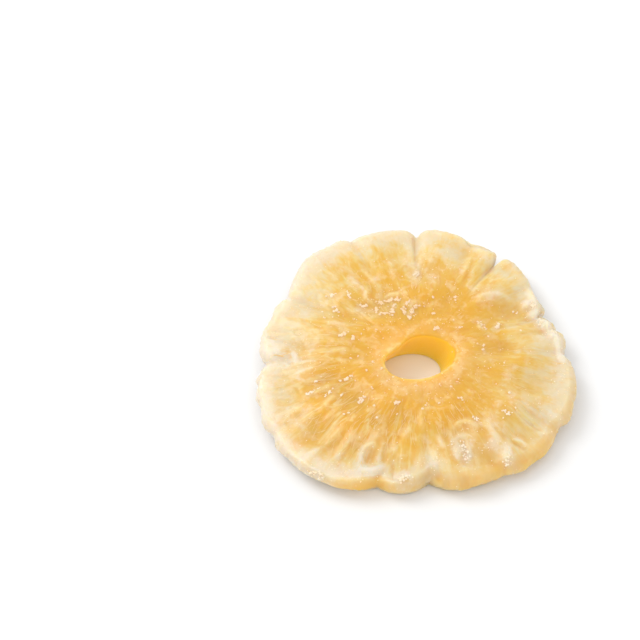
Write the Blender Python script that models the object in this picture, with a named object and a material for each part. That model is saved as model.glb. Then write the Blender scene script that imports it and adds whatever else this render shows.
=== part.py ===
# Dried pineapple ring: one candied slice with its core hole, lying flat, cut face up.
#
# The slice is one closed skin. Spokes run from the lip of the hole to the outer rim,
# and a cross-section of named stations (underside, rim wall, shoulder, cut face, hole wall)
# is repeated on every spoke. Everything that makes the slice uneven is a function of the
# place on it: the fruitlets and clefts of the rim, the pads and pockets of the cut face,
# the raised fibre strands, the beads along the rim, the curled stretches of the edge.
# The shape is worked out in millimetres and handed to Blender in metres.

import math

import bpy
import numpy as np

MM = 0.001
NODE_NAME = "pineapple_ring"

# Thickness of the slice beside the hole and halfway out
LIP_THICKNESS = 8.8
FLESH_THICKNESS = 7.9
LIP_SHARE = 0.20
FLESH_SHARE = 0.58
RIM_SHARE = 0.97

# Core hole: an oval cut that leans to one side on its way down
HOLE_CENTRE = (0.0, -2.0)
HOLE_HALF_LENGTH = 9.2
HOLE_HALF_WIDTH = 6.6
HOLE_TURN = 14.0
HOLE_LEAN = (-2.9, 0.8)
HOLE_NARROWING = 0.90
HOLE_FLAT_BEARING = 150.0
HOLE_FLAT_WIDTH = 34.0
HOLE_FLAT_DEPTH = 2.0

# Roundings of the cross-section
FOOT_ROUNDING = 1.2
LIP_ROUNDING = 1.2
HOLE_FOOT_ROUNDING = 0.8

# The edge as it goes round: bearing, thickness at the rim, how far the foot is tucked
# in under the rim, and the size of the shoulder
EDGE = (
    (20.0, 5.4, 1.6, 2.2),
    (70.0, 6.2, 1.6, 2.4),
    (120.0, 6.0, 2.6, 2.4),
    (165.0, 5.4, 3.6, 2.0),
    (205.0, 5.2, 4.0, 1.7),
    (232.0, 5.0, 3.0, 1.6),
    (241.0, 5.4, 1.2, 1.8),
    (250.0, 5.8, 0.4, 2.4),
    (268.0, 5.2, 0.4, 2.6),
    (290.0, 5.8, 0.8, 3.2),
    (316.0, 5.6, 2.4, 2.8),
    (345.0, 5.4, 2.6, 2.2),
)

# The fruitlets round the rim: bearing and reach of the crest,
# then bearing, depth and half-width of the cleft that follows it (degrees and millimetres)
FRUITLETS = (
    (9.0, 37.9, 14.4, 0.9, 1.4),
    (18.5, 37.3, 22.5, 2.2, 1.8),
    (30.0, 37.7, 38.0, 0.3, 2.0),
    (49.0, 40.6, 55.9, 4.9, 0.9),
    (62.0, 40.2, 68.5, 0.9, 2.5),
    (79.0, 42.9, 89.4, 2.9, 2.2),
    (104.0, 43.0, 114.0, 1.3, 2.6),
    (124.0, 43.6, 149.0, 2.2, 9.0),
    (167.0, 40.8, 182.5, 2.9, 4.6),
    (200.0, 42.9, 212.0, 0.5, 3.0),
    (224.0, 44.3, 253.0, 1.9, 6.0),
    (259.0, 40.2, 272.5, 3.9, 7.0),
    (294.0, 39.5, 300.5, 0.5, 2.5),
    (312.0, 40.9, 327.0, 1.4, 4.5),
    (340.0, 40.8, 0.0, 0.7, 3.0),
)
CLEFT_SHARPNESS = 1.25

# Pads and pockets of the cut face: place, half-lengths along and across the spoke, height
PADS = (
    (0.0, -32.4, 4.6, 5.6, 0.8),
    (-3.6, -36.4, 1.8, 2.8, 0.5),
    (-7.0, 35.0, 6.0, 6.5, 0.5),
    (6.5, 35.0, 6.0, 5.5, 0.6),
    (16.3, 30.5, 6.0, 3.4, 0.6),
    (24.6, 25.4, 5.5, 4.0, 0.6),
    (-20.0, 31.5, 6.0, 7.0, 0.4),
    (-34.0, 12.0, 4.5, 5.5, 0.5),
    (-36.5, -12.0, 4.5, 7.0, 0.6),
    (-33.0, -23.0, 5.0, 5.0, 0.5),
    (35.0, -12.0, 4.0, 6.0, 0.4),
    (22.3, 12.2, 5.2, 4.2, -1.2),
    (21.8, 2.0, 2.8, 2.2, -0.7),
    (-12.6, -30.4, 2.7, 1.6, -1.4),
    (16.6, -31.8, 3.0, 2.2, -0.7),
    (25.2, -31.0, 2.8, 2.0, -0.7),
    (3.9, -36.6, 2.2, 1.1, -1.4),
    (-31.0, 3.0, 3.5, 2.2, -0.5),
    (28.5, -8.0, 5.0, 5.0, -0.4),
)

# Raised strands and grooves that run outward:
# bearing and reach where one starts, bearing and reach where it ends, half-width, height
STRANDS = (
    (204.9, 22.8, 204.5, 32.5, 0.80, 0.90),
    (211.5, 24.5, 215.8, 31.0, 0.80, 0.80),
    (176.0, 17.5, 183.4, 25.0, 0.70, 0.55),
    (155.5, 19.0, 157.5, 26.5, 0.80, 0.50),
    (229.6, 29.0, 228.6, 37.0, 0.85, 0.70),
    (235.6, 29.0, 235.9, 38.0, 0.85, 0.80),
    (246.2, 24.5, 244.6, 36.0, 0.95, 1.20),
    (250.2, 27.6, 251.4, 34.6, 0.70, 0.80),
    (228.2, 36.5, 226.8, 41.5, 0.80, 0.60),
    (278.4, 24.8, 280.6, 29.6, 0.75, 0.90),
    (307.6, 25.4, 303.8, 34.4, 0.90, 0.70),
    (286.3, 28.4, 285.0, 33.4, 0.70, 0.80),
    (293.0, 27.8, 289.4, 34.8, 0.80, 1.00),
    (308.6, 33.0, 302.0, 39.5, 1.10, 0.70),
    (321.0, 35.8, 324.0, 40.4, 0.80, 0.40),
    (91.6, 22.0, 89.6, 28.6, 0.80, 0.80),
    (103.2, 22.0, 103.4, 33.0, 0.70, 0.45),
    (99.7, 26.8, 94.4, 30.6, 0.70, 0.50),
    (63.8, 24.0, 66.6, 36.5, 0.70, 0.55),
    (190.0, 25.5, 191.5, 33.5, 0.70, 0.45),
    (220.5, 25.0, 222.0, 33.0, 0.75, 0.60),
    (262.5, 22.0, 259.0, 29.0, 0.75, 0.50),
    (270.5, 17.0, 269.0, 24.0, 0.70, 0.40),
    (90.4, 27.6, 90.4, 42.5, 0.55, -1.10),
    (61.0, 23.0, 64.6, 37.5, 0.60, -0.50),
    (55.9, 30.0, 55.9, 37.0, 0.60, -0.90),
    (321.6, 28.4, 322.8, 38.6, 0.45, -0.70),
    (309.0, 31.2, 312.2, 39.0, 0.70, -0.90),
    (256.6, 30.0, 258.6, 38.0, 0.75, -0.80),
    (275.0, 33.0, 275.4, 38.0, 0.90, -0.80),
    (39.0, 31.0, 38.5, 38.0, 0.90, -0.40),
    (168.0, 34.0, 171.0, 40.0, 0.70, -0.50),
    (183.0, 33.0, 181.5, 39.5, 0.80, -0.70),
)

# Curved folds of the cut face: centre, radius, bearing where one starts, sweep, half-width, height
ARCHES = (
    (20.4, 13.2, 5.8, 40.0, 120.0, 0.90, 0.60),
    (-12.8, -31.0, 3.3, 195.0, 150.0, 0.80, 0.90),
    (10.3, -27.6, 2.3, 10.0, 170.0, 0.80, 0.60),
    (10.8, -24.9, 3.4, 20.0, 140.0, 0.75, 0.60),
    (-6.2, 16.6, 1.9, 20.0, 150.0, 0.70, 0.70),
    (-11.4, 17.8, 1.9, 100.0, 170.0, 0.65, 0.50),
    (22.6, -28.6, 3.0, 20.0, 110.0, 0.80, 0.50),
    (-34.5, -1.5, 3.4, 330.0, 90.0, 0.60, 0.45),
    (-35.5, -4.5, 2.8, 20.0, 110.0, 0.55, 0.40),
    (16.8, 8.2, 1.4, 60.0, 240.0, 0.60, 0.50),
    (21.6, 9.0, 1.2, 40.0, 180.0, 0.55, 0.50),
)

# Pale beads along the rim, one in front and one on the right:
# the bearings that the crest runs through, its reach at each, its half-width and height
BEADS = (
    (
        (222.0, 230.0, 239.0, 245.0, 249.0, 254.0, 262.0, 267.0),
        (43.4, 43.2, 41.4, 39.6, 38.3, 38.0, 38.0, 37.0),
        0.9,
        0.8,
    ),
    (
        (-5.0, 1.0, 9.0, 14.5, 18.5, 23.0, 31.0, 41.0),
        (36.6, 36.0, 35.9, 34.7, 34.6, 33.6, 35.0, 37.2),
        1.1,
        0.7,
    ),
)

# Stretches of the edge that curl off the table: bearing, half-width in degrees, rise
CURLS = (
    (14.0, 12.0, 1.1),
    (62.0, 14.0, 0.8),
    (128.0, 22.0, 1.2),
    (187.0, 13.0, 0.9),
    (232.0, 10.0, 0.5),
    (290.0, 9.0, 0.5),
    (342.0, 12.0, 0.7),
)
CURL_FROM = 24.0
CURL_TO = 42.0

# Fibre drawn at random: reach of the inner ends, length, half-width, height and swing
FIBRE_SEED = 11
FACE_FIBRES = 70
UNDERSIDE_FIBRES = 40
FIBRE_START = (11.0, 30.0)
FIBRE_LENGTH = (4.0, 10.0)
FIBRE_WIDTH = (0.6, 0.9)
FIBRE_HEIGHT = (0.2, 0.5)
FIBRE_SWING = 6.0

# Slow unevenness of the cut face, the underside and the rim wall: height and wavelength
FACE_SWELL = 0.28
FACE_WAVE = 15.0
UNDERSIDE_SWELL = 0.45
UNDERSIDE_WAVE = 22.0
UNDERSIDE_PRESS = 0.30
WALL_SWELL = 0.22
WALL_WAVE = 8.0
WAVES = 7

# Density of the skin: spokes round the slice, stations along the cross-section
SPOKES = 300
UNDERSIDE_STATIONS = 15
FOOT_STATIONS = 3
WALL_STATIONS = 4
SHOULDER_STATIONS = 8
FACE_STATIONS = 40
LIP_STATIONS = 4
HOLE_WALL_STATIONS = 6
TRIANGLE_SHARE = 0.235

# Finish
FLESH_COLOUR = (0.87, 0.56, 0.17, 1.0)
FLESH_ROUGHNESS = 0.42
SMOOTH_ANGLE = 60.0


def clear_scene():
    """Remove what the start-up scene holds."""
    for item in list(bpy.data.objects):
        bpy.data.objects.remove(item, do_unlink=True)


def turn_between(bearing, mark):
    """Signed angle in degrees from a mark to a bearing, the short way round."""
    return (bearing - mark + 180.0) % 360.0 - 180.0


def smooth_step(value, low, high):
    """0 below low, 1 above high, and an even slope between."""
    share = np.clip((value - low) / (high - low), 0.0, 1.0)
    return share * share * (3.0 - 2.0 * share)


def round_the_ring(bearing, marks, values):
    """A smooth closed curve of values through marks that go once round the ring."""
    marks = np.array([marks[-2] - 360.0, marks[-1] - 360.0, *marks, marks[0] + 360.0, marks[1] + 360.0])
    values = np.array([values[-2], values[-1], *values, values[0], values[1]])
    place = np.mod(bearing, 360.0)
    left = np.clip(np.searchsorted(marks, place, side="right") - 1, 1, len(marks) - 3)
    gap = marks[left + 1] - marks[left]
    share = (place - marks[left]) / gap
    slope_in = (values[left + 1] - values[left - 1]) / (marks[left + 1] - marks[left - 1]) * gap
    slope_out = (values[left + 2] - values[left]) / (marks[left + 2] - marks[left]) * gap
    square = share * share
    cube = square * share
    return (
        (2.0 * cube - 3.0 * square + 1.0) * values[left]
        + (cube - 2.0 * square + share) * slope_in
        + (3.0 * square - 2.0 * cube) * values[left + 1]
        + (cube - square) * slope_out
    )


def rim_reach(bearing):
    """Distance from the middle to the rim: fruitlet crests with pinched clefts between them."""
    reach = round_the_ring(bearing, [row[0] for row in FRUITLETS], [row[1] for row in FRUITLETS])
    for _, _, cleft, depth, width in FRUITLETS:
        off = np.abs(turn_between(bearing, cleft)) / width
        reach = reach - depth * np.exp(-off ** CLEFT_SHARPNESS)
    return reach


def hole_edge(bearing, height_share):
    """Point of the hole wall on a spoke, from the underside (0) to the cut face (1)."""
    size = HOLE_NARROWING + (1.0 - HOLE_NARROWING) * height_share
    along = np.radians(bearing - HOLE_TURN)
    length = HOLE_HALF_LENGTH * size
    width = HOLE_HALF_WIDTH * size
    reach = length * width / np.hypot(width * np.cos(along), length * np.sin(along))
    flat = turn_between(bearing, HOLE_FLAT_BEARING) / HOLE_FLAT_WIDTH
    reach = reach - HOLE_FLAT_DEPTH * height_share * np.exp(-flat ** 2)
    heading = np.radians(bearing)
    x = HOLE_CENTRE[0] + HOLE_LEAN[0] * (1.0 - height_share) + reach * np.cos(heading)
    y = HOLE_CENTRE[1] + HOLE_LEAN[1] * (1.0 - height_share) + reach * np.sin(heading)
    return x, y


def edge_at(bearing):
    """Rim thickness, tuck of the foot and size of the shoulder on a spoke."""
    marks = [row[0] for row in EDGE]
    return tuple(round_the_ring(bearing, marks, [row[column] for row in EDGE]) for column in (1, 2, 3))


def stretch(spokes, base, offset, lift, drop, face, wall):
    """One stretch of the cross-section, as a block of spokes by stations.

    base: 0 at the hole, 1 at the rim, with offset in millimetres added along the spoke
    lift: share of the local thickness, with drop in millimetres added
    face, wall: how much of the cut face's and the rim wall's relief the points take
    """
    columns = np.broadcast_arrays(np.zeros((spokes, 1)), base, offset, lift, drop, face, wall)
    return np.stack(columns[1:], axis=-1)


def quarter_turn(steps):
    """Sine and cosine at even steps round a rounded corner, ends included."""
    angle = np.linspace(0.0, math.pi / 2.0, steps + 1)[None, :]
    return np.sin(angle), np.cos(angle)


def cross_section(bearing):
    """The section on every spoke, from the hole's foot under the slice and back over it."""
    spokes = len(bearing)
    _, tuck, shoulder = edge_at(bearing)
    foot = FOOT_ROUNDING + tuck

    share = np.linspace(0.0, 1.0, UNDERSIDE_STATIONS)[None, :]
    under = stretch(spokes, share, HOLE_FOOT_ROUNDING * (1.0 - share) - foot * share, 0.0, 0.0, 0.0, 0.0)

    sine, cosine = quarter_turn(FOOT_STATIONS)
    out = FOOT_ROUNDING * (sine[:, 1:] - 1.0) - tuck
    toe = stretch(spokes, 1.0, out, 0.0, FOOT_ROUNDING * (1.0 - cosine[:, 1:]), 0.0, 0.3 * sine[:, 1:])

    share = np.linspace(0.0, 1.0, WALL_STATIONS + 1)[None, 1:-1]
    drop = FOOT_ROUNDING * (1.0 - share) - shoulder * share
    wall = stretch(spokes, 1.0, -tuck * (1.0 - share) ** 2, share, drop, 0.0, 1.0)

    sine, cosine = quarter_turn(SHOULDER_STATIONS)
    brow = stretch(spokes, 1.0, shoulder * (cosine - 1.0), 1.0, shoulder * (sine - 1.0), sine ** 2, cosine)

    share = 1.0 - np.linspace(0.0, 1.0, FACE_STATIONS + 1)[None, 1:-1]
    face = stretch(spokes, share, LIP_ROUNDING * (1.0 - share) - shoulder * share, 1.0, 0.0, 1.0, 0.0)

    sine, cosine = quarter_turn(LIP_STATIONS)
    lip = stretch(spokes, 0.0, LIP_ROUNDING * (1.0 - sine), 1.0, LIP_ROUNDING * (cosine - 1.0), cosine, 0.0)

    share = 1.0 - np.linspace(0.0, 1.0, HOLE_WALL_STATIONS + 1)[None, 1:-1]
    drop = HOLE_FOOT_ROUNDING * (1.0 - share) - LIP_ROUNDING * share
    bore = stretch(spokes, 0.0, 0.0, share, drop, 0.0, 0.0)

    sine, cosine = quarter_turn(FOOT_STATIONS)
    out = HOLE_FOOT_ROUNDING * (1.0 - cosine[:, :-1])
    heel = stretch(spokes, 0.0, out, 0.0, HOLE_FOOT_ROUNDING * (1.0 - sine[:, :-1]), 0.0, 0.0)
    return np.concatenate([under, toe, wall, brow, face, lip, bore, heel], axis=1)


def thickness(bearing, reach_share):
    """Thickness of the slice, from the lip of the hole to the rim."""
    rim, _, _ = edge_at(bearing)
    inner = smooth_step(reach_share, LIP_SHARE, FLESH_SHARE)
    outer = smooth_step(reach_share, FLESH_SHARE, RIM_SHARE)
    return LIP_THICKNESS + (FLESH_THICKNESS - LIP_THICKNESS) * inner + (rim - FLESH_THICKNESS) * outer


def uneven(x, y, wavelength, seed):
    """Slow natural unevenness: a few waves of like length that run in random directions."""
    draw = np.random.default_rng(seed)
    height = np.zeros(np.broadcast(x, y).shape)
    for _ in range(WAVES):
        heading = draw.uniform(0.0, 2.0 * math.pi)
        pitch = 2.0 * math.pi / (wavelength * draw.uniform(0.7, 1.4))
        phase = draw.uniform(0.0, 2.0 * math.pi)
        height = height + np.sin(pitch * (x * math.cos(heading) + y * math.sin(heading)) + phase)
    return height / math.sqrt(WAVES / 2.0)


def pad(x, y, place_x, place_y, along, across, height):
    """A soft mound (or dent, with a height below 0), long along its spoke or across it."""
    heading = math.atan2(place_y, place_x)
    dx = x - place_x
    dy = y - place_y
    out = dx * math.cos(heading) + dy * math.sin(heading)
    side = dy * math.cos(heading) - dx * math.sin(heading)
    return height * np.exp(-(out / along) ** 2 - (side / across) ** 2)


def strand(bearing, reach, start_bearing, start_reach, end_bearing, end_reach, width, height):
    """A strand or groove from one polar place to another, fading at both ends."""
    share = (reach - start_reach) / (end_reach - start_reach)
    inside = np.clip(share, 0.0, 1.0)
    middle = start_bearing + (end_bearing - start_bearing) * inside
    side = reach * np.sin(np.radians(turn_between(bearing, middle)))
    near = np.abs(turn_between(bearing, middle)) < 90.0
    fade = np.sin(np.pi * inside) ** 0.7
    return np.where(near, height * fade * np.exp(-(side / width) ** 2), 0.0)


def arch(x, y, centre_x, centre_y, radius, start, sweep, width, height):
    """A fold along an arc, fading at both ends."""
    dx = x - centre_x
    dy = y - centre_y
    off = np.hypot(dx, dy) - radius
    angle = np.degrees(np.arctan2(dy, dx))
    share = np.clip(np.mod(angle - start, 360.0) / sweep, 0.0, 1.0)
    return height * np.sin(np.pi * share) ** 0.7 * np.exp(-(off / width) ** 2)


def bead(bearing, reach, bearings, reaches, width, height):
    """A pale raised bead that follows the rim, fading at both ends."""
    middle = (bearings[0] + bearings[-1]) / 2.0
    turned = turn_between(bearing, middle) + middle
    line = np.interp(turned, bearings, reaches)
    begun = smooth_step(turned, bearings[0], bearings[1])
    ended = smooth_step(turned, bearings[-2], bearings[-1])
    return height * begun * (1.0 - ended) * np.exp(-((reach - line) / width) ** 2)


def clefts_on_face(bearing, reach):
    """Shallow valleys that carry the rim's clefts inward over the cut face."""
    valleys = np.zeros_like(reach)
    for _, _, cleft, depth, _ in FRUITLETS:
        deep = 0.25 + 0.18 * depth
        side = reach * np.radians(turn_between(bearing, cleft))
        fade = smooth_step(reach, 25.0, 38.0)
        valleys = valleys - deep * fade * np.exp(-(side / 1.5) ** 2)
    return valleys


def fibre_strands(bearing, reach, count, seed):
    """Random short fibre, all running outward, some raised and some sunk."""
    draw = np.random.default_rng(seed)
    relief = np.zeros_like(reach)
    for _ in range(count):
        start_bearing = draw.uniform(0.0, 360.0)
        start = draw.uniform(*FIBRE_START)
        end = start + draw.uniform(*FIBRE_LENGTH)
        end_bearing = start_bearing + draw.uniform(-FIBRE_SWING, FIBRE_SWING)
        height = draw.uniform(*FIBRE_HEIGHT) * draw.choice((-1.0, 1.0, 1.0))
        width = draw.uniform(*FIBRE_WIDTH)
        relief = relief + strand(bearing, reach, start_bearing, start, end_bearing, end, width, height)
    return relief


def face_relief(x, y):
    """Height of the cut face above the plain slice."""
    bearing = np.mod(np.degrees(np.arctan2(y, x)), 360.0)
    reach = np.hypot(x, y)
    relief = FACE_SWELL * uneven(x, y, FACE_WAVE, FIBRE_SEED + 1)
    relief = relief + clefts_on_face(bearing, reach)
    relief = relief + fibre_strands(bearing, reach, FACE_FIBRES, FIBRE_SEED)
    for row in PADS:
        relief = relief + pad(x, y, *row)
    for row in STRANDS:
        relief = relief + strand(bearing, reach, *row)
    for row in ARCHES:
        relief = relief + arch(x, y, *row)
    for row in BEADS:
        relief = relief + bead(bearing, reach, *row)
    return relief


def underside_relief(x, y):
    """Hollows of the underside. What would lie lower than the table is pressed flat on it."""
    bearing = np.mod(np.degrees(np.arctan2(y, x)), 360.0)
    reach = np.hypot(x, y)
    hollow = UNDERSIDE_SWELL * uneven(x, y, UNDERSIDE_WAVE, FIBRE_SEED + 2) - UNDERSIDE_PRESS
    hollow = hollow - clefts_on_face(bearing, reach)
    hollow = hollow + fibre_strands(bearing, reach, UNDERSIDE_FIBRES, FIBRE_SEED + 3)
    return np.maximum(hollow, 0.0)


def edge_curl(x, y):
    """How far the edge has curled off the table."""
    bearing = np.degrees(np.arctan2(y, x))
    outward = smooth_step(np.hypot(x, y), CURL_FROM, CURL_TO)
    rise = np.zeros_like(outward)
    for mark, width, height in CURLS:
        rise = rise + height * outward * np.exp(-(turn_between(bearing, mark) / width) ** 2)
    return rise


def slice_points():
    """All points of the skin: one row for each spoke, one column for each station."""
    bearing = np.arange(SPOKES)[:, None] * (360.0 / SPOKES)
    heading = np.radians(bearing)
    reach = rim_reach(bearing)
    base, offset, lift, drop, face, wall = np.moveaxis(cross_section(bearing), -1, 0)
    hole_x, hole_y = hole_edge(bearing, np.clip(lift + drop / LIP_THICKNESS, 0.0, 1.0))
    x = (1.0 - base) * hole_x + (base * reach + offset) * np.cos(heading)
    y = (1.0 - base) * hole_y + (base * reach + offset) * np.sin(heading)
    height = lift * thickness(bearing, np.hypot(x, y) / reach) + drop
    bulge = wall * WALL_SWELL * uneven(reach * heading, 2.0 * height, WALL_WAVE, FIBRE_SEED + 4)
    x = x + bulge * np.cos(heading)
    y = y + bulge * np.sin(heading)
    under = np.where(lift + drop > 0.0, 0.0, 1.0)
    height = height + face * face_relief(x, y) + under * underside_relief(x, y) + edge_curl(x, y)
    return np.stack([x, y, height], axis=-1)


def centred(points):
    """Move the slice so that its box is centred on the origin and stands on the table."""
    low = points.reshape(-1, 3).min(axis=0)
    high = points.reshape(-1, 3).max(axis=0)
    middle = np.array([(low[0] + high[0]) / 2.0, (low[1] + high[1]) / 2.0, low[2]])
    return points - middle


def slice_mesh(name):
    """Join the spokes into one closed skin of quads."""
    points = centred(slice_points())
    spokes, stations = points.shape[:2]
    index = np.arange(spokes * stations).reshape(spokes, stations)
    next_spoke = np.roll(index, -1, axis=0)
    next_station = np.roll(index, -1, axis=1)
    across = np.roll(next_spoke, -1, axis=1)
    faces = np.stack([index, next_spoke, across, next_station], axis=-1).reshape(-1, 4)
    mesh = bpy.data.meshes.new(name)
    mesh.from_pydata((points.reshape(-1, 3) * MM).tolist(), [], faces.tolist())
    mesh.update()
    return mesh


def flesh_material():
    """Candied flesh: warm yellow, waxy."""
    material = bpy.data.materials.new("dried_flesh")
    material.use_nodes = True
    shader = material.node_tree.nodes["Principled BSDF"]
    shader.inputs["Base Color"].default_value = FLESH_COLOUR
    shader.inputs["Roughness"].default_value = FLESH_ROUGHNESS
    shader.inputs["Metallic"].default_value = 0.0
    return material


def build_slice():
    """The whole part: the skin, thinned where it is plain, with its finish."""
    mesh = slice_mesh(NODE_NAME)
    mesh.materials.append(flesh_material())
    mesh.shade_smooth()
    mesh.set_sharp_from_angle(angle=math.radians(SMOOTH_ANGLE))
    ring = bpy.data.objects.new(NODE_NAME, mesh)
    bpy.context.scene.collection.objects.link(ring)
    thin = ring.modifiers.new("thin_plain_areas", "DECIMATE")
    thin.decimate_type = "COLLAPSE"
    thin.ratio = TRIANGLE_SHARE
    thin.use_collapse_triangulate = True
    return ring


clear_scene()
build_slice()
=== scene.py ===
# %% [markdown]
# # A dried pineapple ring
#
# A candied pineapple ring is a thin, uneven disc of fruit with a hole where the core was
# cut out. Sugar has made the flesh waxy and see-through: deep yellow where it is wet,
# cream where it has dried, and dusted with tiny crystals along every raised fibre.
#
# Such a thing could be sculpted by hand, but here every form is a small function of the
# place on the ring. That way the relief, the colours and the sugar all read the same
# numbers, so that a raised fold is also the fold that turns white.

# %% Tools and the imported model
import math

import bmesh
import bpy
import numpy as np
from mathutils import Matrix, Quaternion, Vector
from mathutils.bvhtree import BVHTree


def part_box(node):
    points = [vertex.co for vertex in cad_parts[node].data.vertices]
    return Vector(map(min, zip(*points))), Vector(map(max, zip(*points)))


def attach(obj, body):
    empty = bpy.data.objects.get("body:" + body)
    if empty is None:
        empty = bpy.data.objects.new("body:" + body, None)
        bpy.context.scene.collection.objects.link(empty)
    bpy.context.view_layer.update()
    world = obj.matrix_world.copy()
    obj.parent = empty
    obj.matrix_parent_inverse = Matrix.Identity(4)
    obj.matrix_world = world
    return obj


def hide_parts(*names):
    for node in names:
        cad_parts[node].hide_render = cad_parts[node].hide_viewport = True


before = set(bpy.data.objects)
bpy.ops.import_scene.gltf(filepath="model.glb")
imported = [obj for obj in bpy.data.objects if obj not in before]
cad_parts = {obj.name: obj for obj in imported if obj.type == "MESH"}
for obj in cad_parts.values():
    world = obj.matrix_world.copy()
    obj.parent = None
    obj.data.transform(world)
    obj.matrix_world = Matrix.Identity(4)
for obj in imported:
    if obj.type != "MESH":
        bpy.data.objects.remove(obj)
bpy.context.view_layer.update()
ring_low, ring_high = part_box("pineapple_ring")
MM = 0.001
RING_MIDDLE = (np.array(ring_low) + np.array(ring_high)) / 2.0 / MM
RING_TOP = ring_high[2] / MM
print("ring box in millimetres:", [round(v / MM, 2) for v in (*ring_low, *ring_high)])

# %% [markdown]
# ## The sizes of the slice
#
# A real slice is cut by two parallel knives, so its thickness is nearly even, and it dries
# thinner towards the rim. The hole is punched a little askew. All sizes are in
# millimetres, which are easier to think in for food, and only the finished mesh is turned
# into Blender's metres.

# %% Thickness, hole and roundings
LIP_THICKNESS = 8.8
FLESH_THICKNESS = 7.9
LIP_SHARE = 0.20
FLESH_SHARE = 0.58
RIM_SHARE = 0.97

HOLE_CENTRE = (0.0, -2.0)
HOLE_HALF_LENGTH = 9.2
HOLE_HALF_WIDTH = 6.6
HOLE_TURN = 14.0
HOLE_LEAN = (-2.9, 0.8)
HOLE_NARROWING = 0.90
HOLE_FLAT_BEARING = 150.0
HOLE_FLAT_WIDTH = 34.0
HOLE_FLAT_DEPTH = 2.0

FOOT_ROUNDING = 1.2
LIP_ROUNDING = 0.8
HOLE_FOOT_ROUNDING = 0.8
print("hole in millimetres:", 2.0 * HOLE_HALF_LENGTH, "by", 2.0 * HOLE_HALF_WIDTH)

# %% [markdown]
# ## The rim
#
# A pineapple is many small fruits grown together, and each one leaves a bump on the rim
# of the slice with a cleft beside it. One row of the table is one bump: the bearing and
# reach of its crest, then the bearing, depth and half-width of the cleft that follows.
# A smooth closed curve goes through the crests, and each cleft is pressed into it, which
# keeps the table short and the curve free of kinks.

# %% Tables of the rim
FRUITLETS = (
    (9.5, 37.7, 14.4, 1.0, 1.2),
    (18.5, 36.7, 22.8, 2.3, 2.2),
    (30.0, 37.0, 38.0, 0.3, 2.0),
    (49.0, 40.4, 55.9, 4.9, 0.9),
    (62.0, 40.2, 68.5, 0.9, 2.5),
    (79.0, 42.9, 89.4, 2.9, 2.2),
    (104.0, 43.0, 114.0, 1.3, 2.6),
    (124.0, 43.6, 149.0, 2.2, 9.0),
    (167.0, 40.8, 182.5, 2.9, 4.6),
    (200.0, 42.9, 212.0, 0.5, 3.0),
    (224.0, 44.5, 231.0, 0.2, 2.0),
    (240.0, 43.5, 253.0, 2.3, 6.0),
    (259.0, 40.4, 272.5, 3.9, 7.0),
    (294.0, 39.5, 300.5, 0.5, 2.5),
    (312.0, 40.9, 327.0, 1.4, 4.5),
    (340.0, 40.8, 2.5, 1.4, 3.0),
)
CLEFT_SHARPNESS = 1.25

# Bearing, thickness at the rim, tuck of the foot under the rim, size of the shoulder
EDGE = (
    (20.0, 5.4, 1.6, 2.2),
    (70.0, 6.2, 1.6, 2.4),
    (120.0, 6.0, 2.6, 2.4),
    (165.0, 5.4, 3.6, 2.0),
    (205.0, 5.2, 4.0, 1.7),
    (231.0, 4.8, 3.8, 1.6),
    (242.0, 5.0, 2.4, 1.8),
    (252.0, 5.4, 0.8, 2.2),
    (268.0, 5.0, 0.4, 2.4),
    (290.0, 5.8, 0.8, 3.2),
    (316.0, 5.6, 2.4, 2.8),
    (345.0, 5.4, 2.6, 2.2),
)
print("fruitlets:", len(FRUITLETS), "rows for the edge:", len(EDGE))


# %% Helpers for curves that close round the ring
def turn_between(bearing, mark):
    """Signed angle in degrees from a mark to a bearing, the short way round."""
    return (bearing - mark + 180.0) % 360.0 - 180.0


def smooth_step(value, low, high):
    """0 below low, 1 above high, and an even slope between."""
    share = np.clip((value - low) / (high - low), 0.0, 1.0)
    return share * share * (3.0 - 2.0 * share)


def round_the_ring(bearing, marks, values):
    """A smooth closed curve of values through marks that go once round the ring."""
    marks = np.array([marks[-2] - 360.0, marks[-1] - 360.0, *marks, marks[0] + 360.0, marks[1] + 360.0])
    values = np.array([values[-2], values[-1], *values, values[0], values[1]])
    place = np.mod(bearing, 360.0)
    left = np.clip(np.searchsorted(marks, place, side="right") - 1, 1, len(marks) - 3)
    gap = marks[left + 1] - marks[left]
    share = (place - marks[left]) / gap
    slope_in = (values[left + 1] - values[left - 1]) / (marks[left + 1] - marks[left - 1]) * gap
    slope_out = (values[left + 2] - values[left]) / (marks[left + 2] - marks[left]) * gap
    square = share * share
    cube = square * share
    return (
        (2.0 * cube - 3.0 * square + 1.0) * values[left]
        + (cube - 2.0 * square + share) * slope_in
        + (3.0 * square - 2.0 * cube) * values[left + 1]
        + (cube - square) * slope_out
    )


print("45 degrees from a mark at 350, bearing 35 lies", turn_between(35.0, 350.0), "degrees on")


# %% The rim and its edge
def rim_reach(bearing):
    """Distance from the middle to the rim."""
    reach = round_the_ring(bearing, [row[0] for row in FRUITLETS], [row[1] for row in FRUITLETS])
    for _, _, cleft, depth, width in FRUITLETS:
        off = np.abs(turn_between(bearing, cleft)) / width
        reach = reach - depth * np.exp(-off ** CLEFT_SHARPNESS)
    return reach


def edge_at(bearing):
    """Rim thickness, tuck of the foot and size of the shoulder on a spoke."""
    marks = [row[0] for row in EDGE]
    return tuple(round_the_ring(bearing, marks, [row[column] for row in EDGE]) for column in (1, 2, 3))


all_round = np.arange(0.0, 360.0, 1.0)
print("rim reach from", round(rim_reach(all_round).min(), 1), "to", round(rim_reach(all_round).max(), 1))


# %% [markdown]
# ## The core hole
#
# The hole is an oval that leans to one side on its way down, flattened a little at the
# upper left where the corer slipped. An ellipse in polar form gives its edge on any
# spoke, and the height decides how far it has leaned.


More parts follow.
